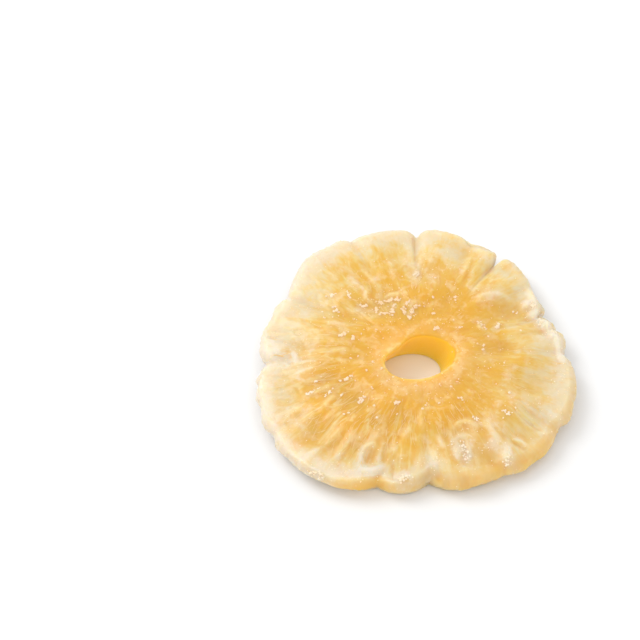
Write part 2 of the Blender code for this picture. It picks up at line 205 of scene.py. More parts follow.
# %% The hole's edge
def hole_edge(bearing, height_share):
    """Point of the hole wall on a spoke, from the underside (0) to the cut face (1)."""
    size = HOLE_NARROWING + (1.0 - HOLE_NARROWING) * height_share
    along = np.radians(bearing - HOLE_TURN)
    length = HOLE_HALF_LENGTH * size
    width = HOLE_HALF_WIDTH * size
    reach = length * width / np.hypot(width * np.cos(along), length * np.sin(along))
    flat = turn_between(bearing, HOLE_FLAT_BEARING) / HOLE_FLAT_WIDTH
    reach = reach - HOLE_FLAT_DEPTH * height_share * np.exp(-flat ** 2)
    heading = np.radians(bearing)
    x = HOLE_CENTRE[0] + HOLE_LEAN[0] * (1.0 - height_share) + reach * np.cos(heading)
    y = HOLE_CENTRE[1] + HOLE_LEAN[1] * (1.0 - height_share) + reach * np.sin(heading)
    return x, y


print("hole on the cut face spans:", [round(float(np.ptp(side)), 1) for side in hole_edge(all_round, 1.0)])


# %% [markdown]
# ## The cross-section
#
# Cut the ring along a spoke and the cut is a rounded bar. It is drawn here as eight
# stretches that meet end to end: underside, toe, wall, brow, face, lip, bore and heel.
# Each point says where it stands between hole and rim, how high it is as a share of the
# thickness, and how much of the face's or the wall's relief it takes. The face gets most
# of the points, because that is where the fine fibre has to show.

# %% Density of the skin
SPOKES = 640
UNDERSIDE_STATIONS = 16
FOOT_STATIONS = 3
WALL_STATIONS = 8
SHOULDER_STATIONS = 12
FACE_STATIONS = 90
LIP_STATIONS = 6
HOLE_WALL_STATIONS = 11
print("spokes:", SPOKES, "stations on the face:", FACE_STATIONS)


# %% A stretch and a rounded corner
def stretch(spokes, base, offset, lift, drop, face, wall):
    """One stretch of the cross-section, as a block of spokes by stations.

    base: 0 at the hole, 1 at the rim, with offset in millimetres added along the spoke
    lift: share of the local thickness, with drop in millimetres added
    face, wall: how much of the cut face's and the rim wall's relief the points take
    """
    columns = np.broadcast_arrays(np.zeros((spokes, 1)), base, offset, lift, drop, face, wall)
    return np.stack(columns[1:], axis=-1)


def quarter_turn(steps):
    """Sine and cosine at even steps round a rounded corner, ends included."""
    angle = np.linspace(0.0, math.pi / 2.0, steps + 1)[None, :]
    return np.sin(angle), np.cos(angle)


print("values that a point of the section keeps:", stretch(1, 0.0, 0.0, 0.0, 0.0, 0.0, 0.0).shape[-1])


# %% The parts of the section
def lower_section(spokes, tuck, shoulder):
    """Underside, toe and wall: from the hole's foot out and up to the shoulder."""
    foot = FOOT_ROUNDING + tuck
    share = np.linspace(0.0, 1.0, UNDERSIDE_STATIONS)[None, :]
    under = stretch(spokes, share, HOLE_FOOT_ROUNDING * (1.0 - share) - foot * share, 0.0, 0.0, 0.0, 0.0)

    sine, cosine = quarter_turn(FOOT_STATIONS)
    out = FOOT_ROUNDING * (sine[:, 1:] - 1.0) - tuck
    toe = stretch(spokes, 1.0, out, 0.0, FOOT_ROUNDING * (1.0 - cosine[:, 1:]), 0.0, 0.3 * sine[:, 1:])

    share = np.linspace(0.0, 1.0, WALL_STATIONS + 1)[None, 1:-1]
    drop = FOOT_ROUNDING * (1.0 - share) - shoulder * share
    wall = stretch(spokes, 1.0, -tuck * (1.0 - share) ** 2, share, drop, 0.0, 1.0)
    return [under, toe, wall]


def upper_section(spokes, shoulder):
    """Brow, face and lip: over the shoulder and in to the hole."""
    sine, cosine = quarter_turn(SHOULDER_STATIONS)
    brow = stretch(spokes, 1.0, shoulder * (cosine - 1.0), 1.0, shoulder * (sine - 1.0), sine ** 2, cosine)

    share = 1.0 - np.linspace(0.0, 1.0, FACE_STATIONS + 1)[None, 1:-1]
    face = stretch(spokes, share, LIP_ROUNDING * (1.0 - share) - shoulder * share, 1.0, 0.0, 1.0, 0.0)

    sine, cosine = quarter_turn(LIP_STATIONS)
    lip = stretch(spokes, 0.0, LIP_ROUNDING * (1.0 - sine), 1.0, LIP_ROUNDING * (cosine - 1.0), cosine, 0.0)
    return [brow, face, lip]


def hole_section(spokes):
    """Bore and heel: down the hole's wall and round its foot."""
    share = 1.0 - np.linspace(0.0, 1.0, HOLE_WALL_STATIONS + 1)[None, 1:-1]
    drop = HOLE_FOOT_ROUNDING * (1.0 - share) - LIP_ROUNDING * share
    bore = stretch(spokes, 0.0, 0.0, share, drop, 0.0, 0.0)

    sine, cosine = quarter_turn(FOOT_STATIONS)
    out = HOLE_FOOT_ROUNDING * (1.0 - cosine[:, :-1])
    heel = stretch(spokes, 0.0, out, 0.0, HOLE_FOOT_ROUNDING * (1.0 - sine[:, :-1]), 0.0, 0.0)
    return [bore, heel]


print("stretches:", len(lower_section(1, 2.0, 2.0) + upper_section(1, 2.0) + hole_section(1)))


# %% The whole section
def cross_section(bearing):
    """The whole section on every spoke."""
    spokes = len(bearing)
    _, tuck, shoulder = edge_at(bearing)
    blocks = lower_section(spokes, tuck, shoulder) + upper_section(spokes, shoulder) + hole_section(spokes)
    return np.concatenate(blocks, axis=1)


def thickness(bearing, reach_share):
    """Thickness of the slice, from the lip of the hole to the rim."""
    rim, _, _ = edge_at(bearing)
    inner = smooth_step(reach_share, LIP_SHARE, FLESH_SHARE)
    outer = smooth_step(reach_share, FLESH_SHARE, RIM_SHARE)
    return LIP_THICKNESS + (FLESH_THICKNESS - LIP_THICKNESS) * inner + (rim - FLESH_THICKNESS) * outer


print("stations on a spoke:", cross_section(all_round[:, None]).shape[1])

# %% [markdown]
# ## The relief of the cut face
#
# Drying pulls the flesh into soft pads with valleys between them, and the fibre that ran
# from core to skin stands up as strands. Three kinds of form make nearly all of it: a
# pad (a soft mound or dent), a strand (a ridge or groove that runs outward) and an arch
# (a fold along an arc). Each row of a table is one form that can be pointed at on the
# slice, and a seeded draw adds the small fibre that nobody would place by hand. Clear
# flesh throws hardly any shade of its own, so the tables say how a form lies, and a share
# for each kind keeps it low enough to look soft.

# %% Table of pads
# Place, half-lengths along and across the spoke, height
PADS = (
    (0.0, -32.4, 4.6, 5.6, 0.8),
    (-3.6, -36.4, 1.8, 2.8, 0.5),
    (-7.0, 35.0, 6.0, 6.5, 0.5),
    (6.5, 35.0, 6.0, 5.5, 0.5),
    (16.3, 30.5, 6.0, 3.4, 0.6),
    (24.6, 25.4, 5.5, 4.0, 0.6),
    (-20.0, 31.5, 6.0, 7.0, 0.4),
    (-34.0, 12.0, 4.5, 5.5, 0.5),
    (-36.5, -12.0, 4.5, 7.0, 0.6),
    (-33.0, -23.0, 5.0, 5.0, 0.5),
    (35.0, -12.0, 4.0, 6.0, 0.4),
    (22.3, 12.2, 5.2, 4.2, -1.2),
    (21.8, 2.0, 2.8, 2.2, -0.7),
    (-12.8, -31.0, 2.6, 2.2, -0.7),
    (16.6, -31.8, 3.0, 2.2, -0.7),
    (25.2, -31.0, 2.8, 2.0, -0.7),
    (3.9, -36.6, 2.2, 1.1, -1.4),
    (-31.0, 3.0, 3.5, 2.2, -0.5),
    (28.5, -8.0, 5.0, 5.0, -0.4),
    (28.2, 16.8, 1.3, 1.1, 0.6),
    (29.6, 13.6, 1.2, 1.2, 0.5),
    (32.4, 10.2, 1.3, 1.3, 0.6),
    (34.0, 6.8, 1.1, 1.4, 0.5),
    (9.6, -29.0, 1.8, 1.2, 0.5),
    (20.6, -31.2, 1.6, 1.2, 0.5),
    (-4.3, -36.2, 1.2, 1.4, 0.5),
)
print("pads:", len(PADS))

# %% Table of strands
# Bearing and reach of the start, bearing and reach of the end, half-width, height
STRANDS = (
    (204.9, 22.8, 204.5, 32.5, 0.80, 0.90),
    (211.5, 24.5, 215.8, 31.0, 0.80, 0.80),
    (176.0, 17.5, 183.4, 25.0, 0.70, 0.55),
    (155.5, 19.0, 157.5, 26.5, 0.80, 0.50),
    (229.6, 29.0, 228.6, 37.0, 0.85, 0.70),
    (235.6, 29.0, 235.9, 38.0, 0.85, 0.80),
    (246.2, 24.5, 244.6, 36.0, 0.95, 0.80),
    (250.2, 27.6, 251.4, 34.6, 0.70, 0.50),
    (228.2, 36.5, 226.8, 41.5, 0.80, 0.60),
    (278.4, 24.8, 280.6, 29.6, 0.75, 0.90),
    (307.6, 25.4, 303.8, 34.4, 0.90, 0.70),
    (286.3, 28.4, 285.0, 33.4, 0.70, 0.80),
    (293.0, 27.8, 289.4, 34.8, 0.80, 1.00),
    (308.6, 33.0, 302.0, 39.5, 1.10, 0.70),
    (321.0, 35.8, 324.0, 40.4, 0.80, 0.40),
    (91.6, 22.0, 89.6, 28.6, 0.80, 0.80),
    (103.2, 22.0, 103.4, 33.0, 0.70, 0.45),
    (99.7, 26.8, 94.4, 30.6, 0.70, 0.50),
    (63.8, 24.0, 66.6, 36.5, 0.70, 0.55),
    (190.0, 25.5, 191.5, 33.5, 0.70, 0.45),
    (220.5, 25.0, 222.0, 33.0, 0.75, 0.60),
    (262.5, 22.0, 259.0, 29.0, 0.75, 0.50),
    (270.5, 17.0, 269.0, 24.0, 0.70, 0.40),
    (90.4, 27.6, 90.4, 42.5, 0.55, -1.10),
    (61.0, 23.0, 64.6, 37.5, 0.60, -0.50),
    (55.9, 31.0, 55.9, 37.0, 0.60, -0.60),
    (321.6, 28.4, 322.8, 38.6, 0.45, -0.70),
    (309.0, 31.2, 312.2, 39.0, 0.70, -0.90),
    (256.6, 30.0, 258.6, 38.0, 0.75, -0.80),
    (275.0, 33.0, 275.4, 38.0, 0.90, -0.80),
    (39.0, 31.0, 38.5, 38.0, 0.90, -0.40),
    (168.0, 34.0, 171.0, 40.0, 0.70, -0.50),
    (183.0, 33.0, 181.5, 39.5, 0.80, -0.70),
)
print("strands:", len(STRANDS))

# %% Tables of arches, beads and curls
# Centre, radius, bearing where the arc starts, sweep, half-width, height
ARCHES = (
    (20.4, 13.2, 5.8, 40.0, 120.0, 0.90, 0.60),
    (-12.8, -31.0, 3.3, 195.0, 150.0, 0.80, 0.90),
    (-12.4, -30.6, 2.7, 50.0, 190.0, 0.60, 0.70),
    (10.3, -27.6, 2.3, 10.0, 170.0, 0.80, 0.60),
    (10.8, -24.9, 3.4, 20.0, 140.0, 0.75, 0.60),
    (-6.2, 16.6, 1.9, 20.0, 150.0, 0.70, 0.70),
    (-11.4, 17.8, 1.9, 100.0, 170.0, 0.65, 0.50),
    (22.6, -28.6, 3.0, 20.0, 110.0, 0.80, 0.50),
    (-34.5, -1.5, 3.4, 330.0, 90.0, 0.60, 0.45),
    (-35.5, -4.5, 2.8, 20.0, 110.0, 0.55, 0.40),
    (16.8, 8.2, 1.4, 60.0, 240.0, 0.60, 0.50),
    (21.6, 9.0, 1.2, 40.0, 180.0, 0.55, 0.50),
)
# Bearings and reaches along the bead, half-width, height
BEADS = (
    (
        (222.0, 230.0, 239.0, 245.0, 249.0, 254.0, 262.0, 267.0),
        (44.0, 43.6, 42.8, 41.4, 40.0, 38.8, 38.6, 37.5),
        0.9,
        0.8,
    ),
    (
        (-5.0, 1.0, 9.0, 14.5, 18.5, 23.0, 31.0, 41.0),
        (36.6, 36.0, 35.9, 34.7, 34.6, 33.6, 35.0, 37.2),
        1.1,
        0.7,
    ),
)
# Bearing, half-width and rise of the places where the rim has curled up
CURLS = (
    (14.0, 12.0, 1.1),
    (62.0, 14.0, 0.8),
    (128.0, 22.0, 1.2),
    (187.0, 13.0, 0.9),
    (232.0, 10.0, 0.5),
    (290.0, 9.0, 0.5),
    (342.0, 12.0, 0.7),
)
CURL_FROM = 24.0
CURL_TO = 42.0
print("arches:", len(ARCHES), "beads:", len(BEADS), "curls:", len(CURLS))


# %% A pad and a strand
NEARBY = 25.0
END_FADE = 0.7


def pad(x, y, place_x, place_y, along, across, height):
    """A soft mound (or dent, with a height below 0), long along its spoke or across it."""
    heading = math.atan2(place_y, place_x)
    dx = x - place_x
    dy = y - place_y
    out = dx * math.cos(heading) + dy * math.sin(heading)
    side = dy * math.cos(heading) - dx * math.sin(heading)
    return height * np.exp(-(out / along) ** 2 - (side / across) ** 2)


def add_strand(relief, bearing, reach, start_bearing, start_reach, end_bearing, end_reach, width, height):
    """Add a strand or groove from one polar place to another, fading at both ends."""
    share = (reach - start_reach) / (end_reach - start_reach)
    near = np.abs(turn_between(bearing, (start_bearing + end_bearing) / 2.0)) < NEARBY
    rows = np.nonzero(near & (share > 0.0) & (share < 1.0))
    inside = share[rows]
    middle = start_bearing + (end_bearing - start_bearing) * inside
    side = reach[rows] * np.sin(np.radians(turn_between(bearing[rows], middle)))
    relief[rows] += height * np.sin(np.pi * inside) ** END_FADE * np.exp(-(side / width) ** 2)


print("first pad at its middle:", round(pad(*PADS[0][:2], *PADS[0]), 2))


# %% An arch and a bead
def arch(x, y, centre_x, centre_y, radius, start, sweep, width, height):
    """A fold along an arc, fading at both ends."""
    dx = x - centre_x
    dy = y - centre_y
    off = np.hypot(dx, dy) - radius
    angle = np.degrees(np.arctan2(dy, dx))
    share = np.clip(np.mod(angle - start, 360.0) / sweep, 0.0, 1.0)
    return height * np.sin(np.pi * share) ** END_FADE * np.exp(-(off / width) ** 2)


def bead(bearing, reach, bearings, reaches, width, height):
    """A pale raised bead that follows the rim, fading at both ends."""
    middle = (bearings[0] + bearings[-1]) / 2.0
    turned = turn_between(bearing, middle) + middle
    line = np.interp(turned, bearings, reaches)
    begun = smooth_step(turned, bearings[0], bearings[1])
    ended = smooth_step(turned, bearings[-2], bearings[-1])
    return height * begun * (1.0 - ended) * np.exp(-((reach - line) / width) ** 2)


print("first bead at bearing 240:", round(float(bead(240.0, 42.7, *BEADS[0])), 2))

# %% Valleys and curled edges
VALLEY_LEAST = 0.25
VALLEY_SHARE = 0.18
VALLEY_DEEPEST = 0.6
VALLEY_WIDTH = 1.5
VALLEY_FROM = 25.0
VALLEY_FULL = 38.0


def clefts_on_face(bearing, reach):
    """Shallow valleys that carry the rim's clefts inward over the cut face."""
    valleys = np.zeros_like(reach)
    for _, _, cleft, depth, _ in FRUITLETS:
        deep = min(VALLEY_LEAST + VALLEY_SHARE * depth, VALLEY_DEEPEST)
        side = reach * np.radians(turn_between(bearing, cleft))
        fade = smooth_step(reach, VALLEY_FROM, VALLEY_FULL)
        valleys = valleys - deep * fade * np.exp(-(side / VALLEY_WIDTH) ** 2)
    return valleys


def edge_curl(x, y):
    """How far the edge has curled off the table."""
    bearing = np.degrees(np.arctan2(y, x))
    outward = smooth_step(np.hypot(x, y), CURL_FROM, CURL_TO)
    rise = np.zeros_like(outward)
    for mark, width, height in CURLS:
        rise = rise + height * outward * np.exp(-(turn_between(bearing, mark) / width) ** 2)
    return rise


print("rise of the rim at the left:", round(float(edge_curl(-40.0, 0.0)), 2))

# %% Natural unevenness and the coarse fibre
FIBRE_SEED = 11
FACE_FIBRES = 70
FACE_FIBRE_SHARE = 0.35
STRAND_SHARE = 0.45
ARCH_SHARE = 0.75
UNDERSIDE_FIBRES = 40
FIBRE_START = (11.0, 30.0)
FIBRE_LENGTH = (4.0, 10.0)
FIBRE_WIDTH = (0.6, 0.9)
FIBRE_HEIGHT = (0.2, 0.5)
FIBRE_SWING = 6.0
FACE_SWELL = 0.28
FACE_WAVE = 15.0
UNDERSIDE_SWELL = 0.45
UNDERSIDE_WAVE = 22.0
UNDERSIDE_PRESS = 0.30
WALL_SWELL = 0.22
WALL_WAVE = 8.0
WALL_FIBRE = 0.06
WALL_FIBRE_WAVE = 1.6
WAVES = 7


def uneven(x, y, wavelength, seed):
    """Slow natural unevenness: a few waves of like length that run in random directions."""
    draw = np.random.default_rng(seed)
    height = np.zeros(np.broadcast(x, y).shape)
    for _ in range(WAVES):
        heading = draw.uniform(0.0, 2.0 * math.pi)
        pitch = 2.0 * math.pi / (wavelength * draw.uniform(0.7, 1.4))
        phase = draw.uniform(0.0, 2.0 * math.pi)
        height = height + np.sin(pitch * (x * math.cos(heading) + y * math.sin(heading)) + phase)
    return height / math.sqrt(WAVES / 2.0)


def fibre_strands(bearing, reach, count, seed):
    """Random short fibre, all running outward, some raised and some sunk."""
    draw = np.random.default_rng(seed)
    relief = np.zeros_like(reach)
    for _ in range(count):
        start_bearing = draw.uniform(0.0, 360.0)
        start = draw.uniform(*FIBRE_START)
        end = start + draw.uniform(*FIBRE_LENGTH)
        end_bearing = start_bearing + draw.uniform(-FIBRE_SWING, FIBRE_SWING)
        height = draw.uniform(*FIBRE_HEIGHT) * draw.choice((-1.0, 1.0, 1.0))
        width = draw.uniform(*FIBRE_WIDTH)
        add_strand(relief, bearing, reach, start_bearing, start, end_bearing, end, width, height)
    return relief


print("swell under the first pad:", round(float(uneven(*PADS[0][:2], FACE_WAVE, FIBRE_SEED)), 2))

# %% [markdown]
# ## The fine relief
#
# Up close the face isn't smooth between the strands. Thin fibre ends cover it, thickest
# round the hole, and the skin crinkles where it has frosted over. These forms are too
# fine for the solid model, but at a quarter of a millimetre they are still wider than the
# spacing of this mesh, so they are real geometry here and catch real light. What is finer
# still is left to the bump in the material.

# %% Fine fibre and crinkle
FINE_SEED = 29
# Bearing in the middle, half-spread, reach from and to, how many
FINE_FIELDS = (
    (0.0, 180.0, 9.0, 22.0, 700),
    (215.0, 48.0, 20.0, 37.0, 360),
    (330.0, 35.0, 18.0, 35.0, 200),
    (100.0, 50.0, 18.0, 27.0, 130),
    (30.0, 30.0, 18.0, 26.0, 60),
)
FINE_LENGTH = (1.2, 4.5)
FINE_WIDTH = (0.20, 0.38)
FINE_HEIGHT = (0.015, 0.05)
FINE_SWING = 4.0
CRINKLE_WAVES = (2.6, 1.5)
CRINKLE_HEIGHT = 0.02


def fine_fibre(bearing, reach):
    """Hair-thin fibre ends, crowded round the hole and towards the lower left."""
    draw = np.random.default_rng(FINE_SEED)
    relief = np.zeros_like(reach)
    for middle, spread, near, far, count in FINE_FIELDS:
        for _ in range(count):
            start_bearing = middle + spread * draw.uniform(-1.0, 1.0)
            start = draw.uniform(near, far)
            end = start + draw.uniform(*FINE_LENGTH)
            end_bearing = start_bearing + draw.uniform(-FINE_SWING, FINE_SWING)
            height = draw.uniform(*FINE_HEIGHT) * draw.choice((-1.0, 1.0, 1.0))
            width = draw.uniform(*FINE_WIDTH)
            add_strand(relief, bearing, reach, start_bearing, start, end_bearing, end, width, height)
    return relief


def crinkle(x, y):
    """Small wrinkles of the dried surface."""
    waves = [uneven(x, y, wave, FINE_SEED + step) for step, wave in enumerate(CRINKLE_WAVES)]
    return CRINKLE_HEIGHT * sum(waves)


print("fine fibres:", sum(row[-1] for row in FINE_FIELDS))

# %% The relief of the face and the underside
def polar(x, y):
    """Bearing in degrees and reach in millimetres of a place on the slice."""
    return np.mod(np.degrees(np.arctan2(y, x)), 360.0), np.hypot(x, y)


def folds(x, y):
    """The strands, arches and beads of the cut face, without pads and valleys."""
    bearing, reach = polar(x, y)
    strands = np.zeros_like(reach)
    for row in STRANDS:
        add_strand(strands, bearing, reach, *row)
    fibres = fibre_strands(bearing, reach, FACE_FIBRES, FIBRE_SEED)
    relief = FACE_FIBRE_SHARE * fibres + STRAND_SHARE * strands
    for row in ARCHES:
        relief = relief + ARCH_SHARE * arch(x, y, *row)
    for row in BEADS:
        relief = relief + bead(bearing, reach, *row)
    return relief


def pads(x, y):
    """The pads, pockets and valleys of the cut face."""
    bearing, reach = polar(x, y)
    relief = FACE_SWELL * uneven(x, y, FACE_WAVE, FIBRE_SEED + 1) + clefts_on_face(bearing, reach)
    for row in PADS:
        relief = relief + pad(x, y, *row)
    return relief


def underside_relief(x, y):
    """Hollows of the underside. What would lie lower than the table is pressed flat on it."""
    bearing, reach = polar(x, y)
    hollow = UNDERSIDE_SWELL * uneven(x, y, UNDERSIDE_WAVE, FIBRE_SEED + 2) - UNDERSIDE_PRESS
    hollow = hollow - clefts_on_face(bearing, reach)
    hollow = hollow + fibre_strands(bearing, reach, UNDERSIDE_FIBRES, FIBRE_SEED + 3)
    return np.maximum(hollow, 0.0)


spot = np.array([[-36.5]]), np.array([[-12.0]])
print("pads and folds on a pad at the left:", round(pads(*spot).item(), 2), round(folds(*spot).item(), 2))

# %% [markdown]
# ## Where it is dry and where it is wet
#
# On real candied fruit the high places and the rim dry first, so the finish is worked
# out from the form. Five measures do it. Tone is the way from orange to cream, which
# goes outward but not evenly, so one table turns it round the ring and another adds
# patches. Frost is sugar that has dried white on folds, on the rim and in patches.
# Wisps say where pale streaks lie in the flesh. Clear is wet flesh, in the pockets and
# on the front wall. Bore is the wall of the hole.

# %% Frost
# Place, half-lengths along and across the spoke, strength
FROST_PATCHES = (
    (-37.0, 1.0, 4.5, 5.0, 0.75),
    (-29.5, -3.0, 4.0, 4.5, 0.55),
    (-29.0, 14.5, 5.0, 3.0, 0.35),
    (-26.5, -33.0, 2.8, 8.0, 0.70),
    (-39.0, -14.0, 2.5, 9.0, 0.60),
    (-34.0, -26.0, 2.2, 5.0, 0.60),
    (-39.5, 4.0, 2.0, 4.0, 0.50),
    (-33.0, 21.0, 1.6, 8.0, 0.30),
    (-19.0, -36.0, 2.6, 6.5, 0.65),
    (-24.0, 34.0, 4.0, 14.0, 0.35),
    (0.0, 26.0, 2.6, 1.4, 0.80),
    (1.6, 32.0, 6.0, 1.2, 0.35),
    (-1.8, 32.0, 6.0, 1.2, 0.35),
    (4.5, 24.5, 3.0, 1.5, 0.40),
    (17.0, 19.0, 2.5, 3.5, 0.45),
    (32.0, 9.0, 4.0, 9.0, 0.25),
    (28.2, 16.8, 1.8, 1.6, 0.80),
    (29.6, 13.6, 1.6, 1.7, 0.80),
    (32.4, 10.2, 1.7, 1.7, 0.75),
    (34.0, 6.8, 1.5, 1.9, 0.75),
    (36.0, 2.0, 1.4, 3.0, 0.50),
    (36.0, -6.0, 3.0, 8.0, 0.30),
    (27.0, -15.0, 7.0, 3.0, 0.22),
    (33.0, -19.0, 4.0, 3.0, 0.30),
    (10.0, -29.0, 4.0, 2.4, 0.85),
    (20.8, -31.0, 4.0, 1.8, 0.75),
    (13.0, -22.5, 1.6, 5.0, 0.45),
    (19.0, -26.5, 3.0, 1.8, 0.35),
    (0.0, -34.5, 4.0, 6.0, 0.12),
    (-4.3, -36.6, 1.6, 1.6, 0.90),
    (-12.0, -36.6, 1.8, 7.0, 0.65),
    (-9.0, 15.0, 4.0, 6.0, 0.35),
    (0.0, -13.0, 2.6, 7.0, 0.30),
    (-31.0, -16.0, 3.5, 4.0, 0.20),
    (-12.5, -31.5, 3.5, 4.0, 0.25),
    (16.0, -2.5, 4.0, 7.0, 0.12),
    (2.8, -31.5, 3.4, 4.2, 0.42),
    (15.5, -28.0, 2.5, 2.8, 0.40),
    (-10.0, -26.0, 2.5, 2.5, 0.20),
    (-30.0, -21.0, 2.5, 4.0, 0.20),
    (-29.6, 4.0, 3.0, 2.5, 0.30),
    (9.5, 26.5, 3.0, 3.0, 0.20),
    (4.0, 22.0, 2.5, 3.0, 0.15),
    (20.5, 31.0, 2.0, 3.0, 0.15),
    (18.0, -17.0, 4.0, 5.0, 0.15),
)
FROST_ON_FOLD = 0.80
FROST_ON_HAIR = 0.15
FROST_ON_RIM = 0.45
FROST_ON_EDGE = 0.40
FROST_ON_LIP = 0.60
RIM_FROST_FROM = 0.84
EDGE_FROST_FROM = 0.93
LIP_FROST_PLACE = 0.05
LIP_FROST_WIDTH = 0.06
FOLD_FULL = 0.36
HAIR_FULL = 0.05
# Bearing where each kind of frost is strongest, and what is left of it on the far side
FROSTY_FACE = (240.0, 0.45)
FROSTY_RIM = (175.0, 0.25)
FROSTY_LIP = (270.0, 0.30)
print("frost patches:", len(FROST_PATCHES))

# %% Clear flesh and tone
# Bearing, half-width and strength of the clear stretches of the rim wall
CLEAR_WALLS = (
    (250.0, 16.0, 1.00),
    (285.0, 18.0, 0.85),
    (315.0, 16.0, 0.75),
    (340.0, 14.0, 0.40),
)
POCKET_FULL = 2.4

# Bearing, and the share of the way out at which the flesh has turned half cream
CREAM_FROM = (
    (0.0, 0.79),
    (20.0, 0.84),
    (45.0, 0.86),
    (62.0, 0.88),
    (80.0, 0.80),
    (100.0, 0.80),
    (120.0, 0.76),
    (140.0, 0.74),
    (155.0, 0.78),
    (170.0, 0.72),
    (185.0, 0.72),
    (200.0, 0.80),
    (215.0, 0.92),
    (235.0, 0.95),
    (250.0, 0.92),
    (265.0, 0.88),
    (285.0, 0.90),
    (305.0, 0.90),
    (330.0, 0.79),
    (345.0, 0.76),
)
CREAM_MIDDLE = 0.80
# Place, half-lengths along and across the spoke, and how much creamer than its surroundings
TONE_PATCHES = (
    (0.5, -33.5, 5.0, 7.0, 0.02),
    (14.0, -3.0, 4.0, 9.0, 0.16),
    (-22.0, -12.0, 9.0, 18.0, -0.16),
    (-14.0, -32.5, 3.6, 8.0, 0.16),
    (24.0, 0.0, 9.0, 24.0, 0.06),
    (-12.8, -31.0, 1.7, 1.4, -0.30),
    (-1.0, -32.5, 1.6, 2.0, -0.15),
    (-23.0, -8.0, 2.5, 3.0, -0.12),
    (-16.0, -17.0, 3.0, 3.5, -0.10),
    (-4.0, -18.0, 3.0, 4.0, -0.10),
    (10.0, -19.5, 2.5, 5.0, -0.12),
    (21.0, 2.5, 2.8, 3.0, -0.12),
    (-22.0, -24.0, 3.5, 3.0, -0.12),
    (-6.0, -26.5, 3.0, 2.5, -0.14),
    (17.0, -32.5, 3.0, 2.5, -0.10),
    (25.0, 15.0, 5.0, 3.0, -0.06),
    (-21.0, 24.5, 3.0, 5.0, -0.06),
    (7.0, 27.5, 3.0, 5.0, -0.06),
    (-29.0, 15.0, 4.0, 3.0, 0.10),
    (-24.5, 20.5, 2.5, 3.0, 0.12),
    (-17.5, 14.5, 3.5, 2.0, 0.12),
    (-10.0, 20.0, 2.5, 2.5, 0.10),
    (-17.0, 8.5, 2.0, 5.0, 0.08),
    (20.0, 19.0, 2.0, 4.0, 0.12),
    (13.0, 22.0, 2.0, 3.0, 0.10),
    (30.0, -15.0, 4.0, 3.0, -0.08),
)
WISPY = (225.0, 0.12)
WISPS_FROM = 15.0
WISPS_FULL = 24.0
WISPS_ON_WALL = 0.5
print("clear walls:", len(CLEAR_WALLS), "tone patches:", len(TONE_PATCHES))


# %% The finish at a place
def strongest_at(bearing, mark, far_side):
    """1 at a bearing, falling evenly to a share on the far side of the ring."""
    near = 0.5 + 0.5 * np.cos(np.radians(turn_between(bearing, mark)))
    return far_side + (1.0 - far_side) * near


def frost_at(x, y, bearing, carried):
    """How far sugar has dried on a place, from 0 to 1."""
    frost = FROST_ON_FOLD * np.clip(carried["fold"] / FOLD_FULL, 0.0, 1.0)
    frost = frost + FROST_ON_HAIR * np.clip(carried["hair"] / HAIR_FULL, 0.0, 1.0)
    frost = frost * strongest_at(bearing, *FROSTY_FACE)
    rim = FROST_ON_RIM * smooth_step(carried["out_share"], RIM_FROST_FROM, 1.0)
    rim = rim + FROST_ON_EDGE * smooth_step(carried["out_share"], EDGE_FROST_FROM, 1.0)
    rim = rim * strongest_at(bearing, *FROSTY_RIM)
    frost = frost + rim * np.maximum(carried["face"], carried["wall"])
    lip = np.exp(-((carried["base"] - LIP_FROST_PLACE) / LIP_FROST_WIDTH) ** 2)
    frost = frost + FROST_ON_LIP * strongest_at(bearing, *FROSTY_LIP) * lip
    for row in FROST_PATCHES:
        frost = frost + pad(x, y, *row)
    return np.clip(frost, 0.0, 1.0)


def clear_at(bearing, carried):
    """How clear the flesh is in the pockets and on the front wall, from 0 to 1."""
    clear = np.clip(-(carried["mound"] + carried["fold"]) / POCKET_FULL, 0.0, 1.0)
    for mark, width, strength in CLEAR_WALLS:
        off = turn_between(bearing, mark) / width
        clear = clear + np.sqrt(carried["wall"]) * strength * np.exp(-off ** 2)
    return np.clip(clear, 0.0, 1.0)


def tone_at(x, y, bearing, carried):
    """The way from orange to cream: how far out a place lies, moved by the two tables."""
    turned = round_the_ring(bearing, [row[0] for row in CREAM_FROM], [row[1] for row in CREAM_FROM])
    tone = carried["out_share"] + CREAM_MIDDLE - turned
    for row in TONE_PATCHES:
        tone = tone + pad(x, y, *row)
    return tone


def wisps_at(bearing, reach, carried):
    """Where pale wisps show: most on the lower left of the face, and faintly on the wall."""
    on_face = carried["face"] * smooth_step(reach, WISPS_FROM, WISPS_FULL) * strongest_at(bearing, *WISPY)
    return np.maximum(on_face, WISPS_ON_WALL * carried["wall"])


far_frost = round(float(strongest_at(60.0, *FROSTY_FACE)), 2)
print("frost left on the far side of the face:", far_frost)

# %% [markdown]
# ## The skin
#
# All of it comes together in one block of points, spokes by stations. Each spoke is
# joined to the next one and the last to the first, so the skin closes on itself like the
# real surface. Every point also keeps what it is: how far out it lies, how much of a fold
# it carries, whether it belongs to the hole, the face, the wall or the underside. The
# finish is worked out from that and travels with the mesh as attributes, which the
# material reads. One of them, grain, is a place in a stretched space where a step
# outward counts for much less than a step round the ring, so noise read there runs in
# streaks along the spokes.

# %% The points and what they carry
GRAIN_ROUND = 26.0
GRAIN_LENGTH = 3.6
GRAIN_DEPTH = 2.0


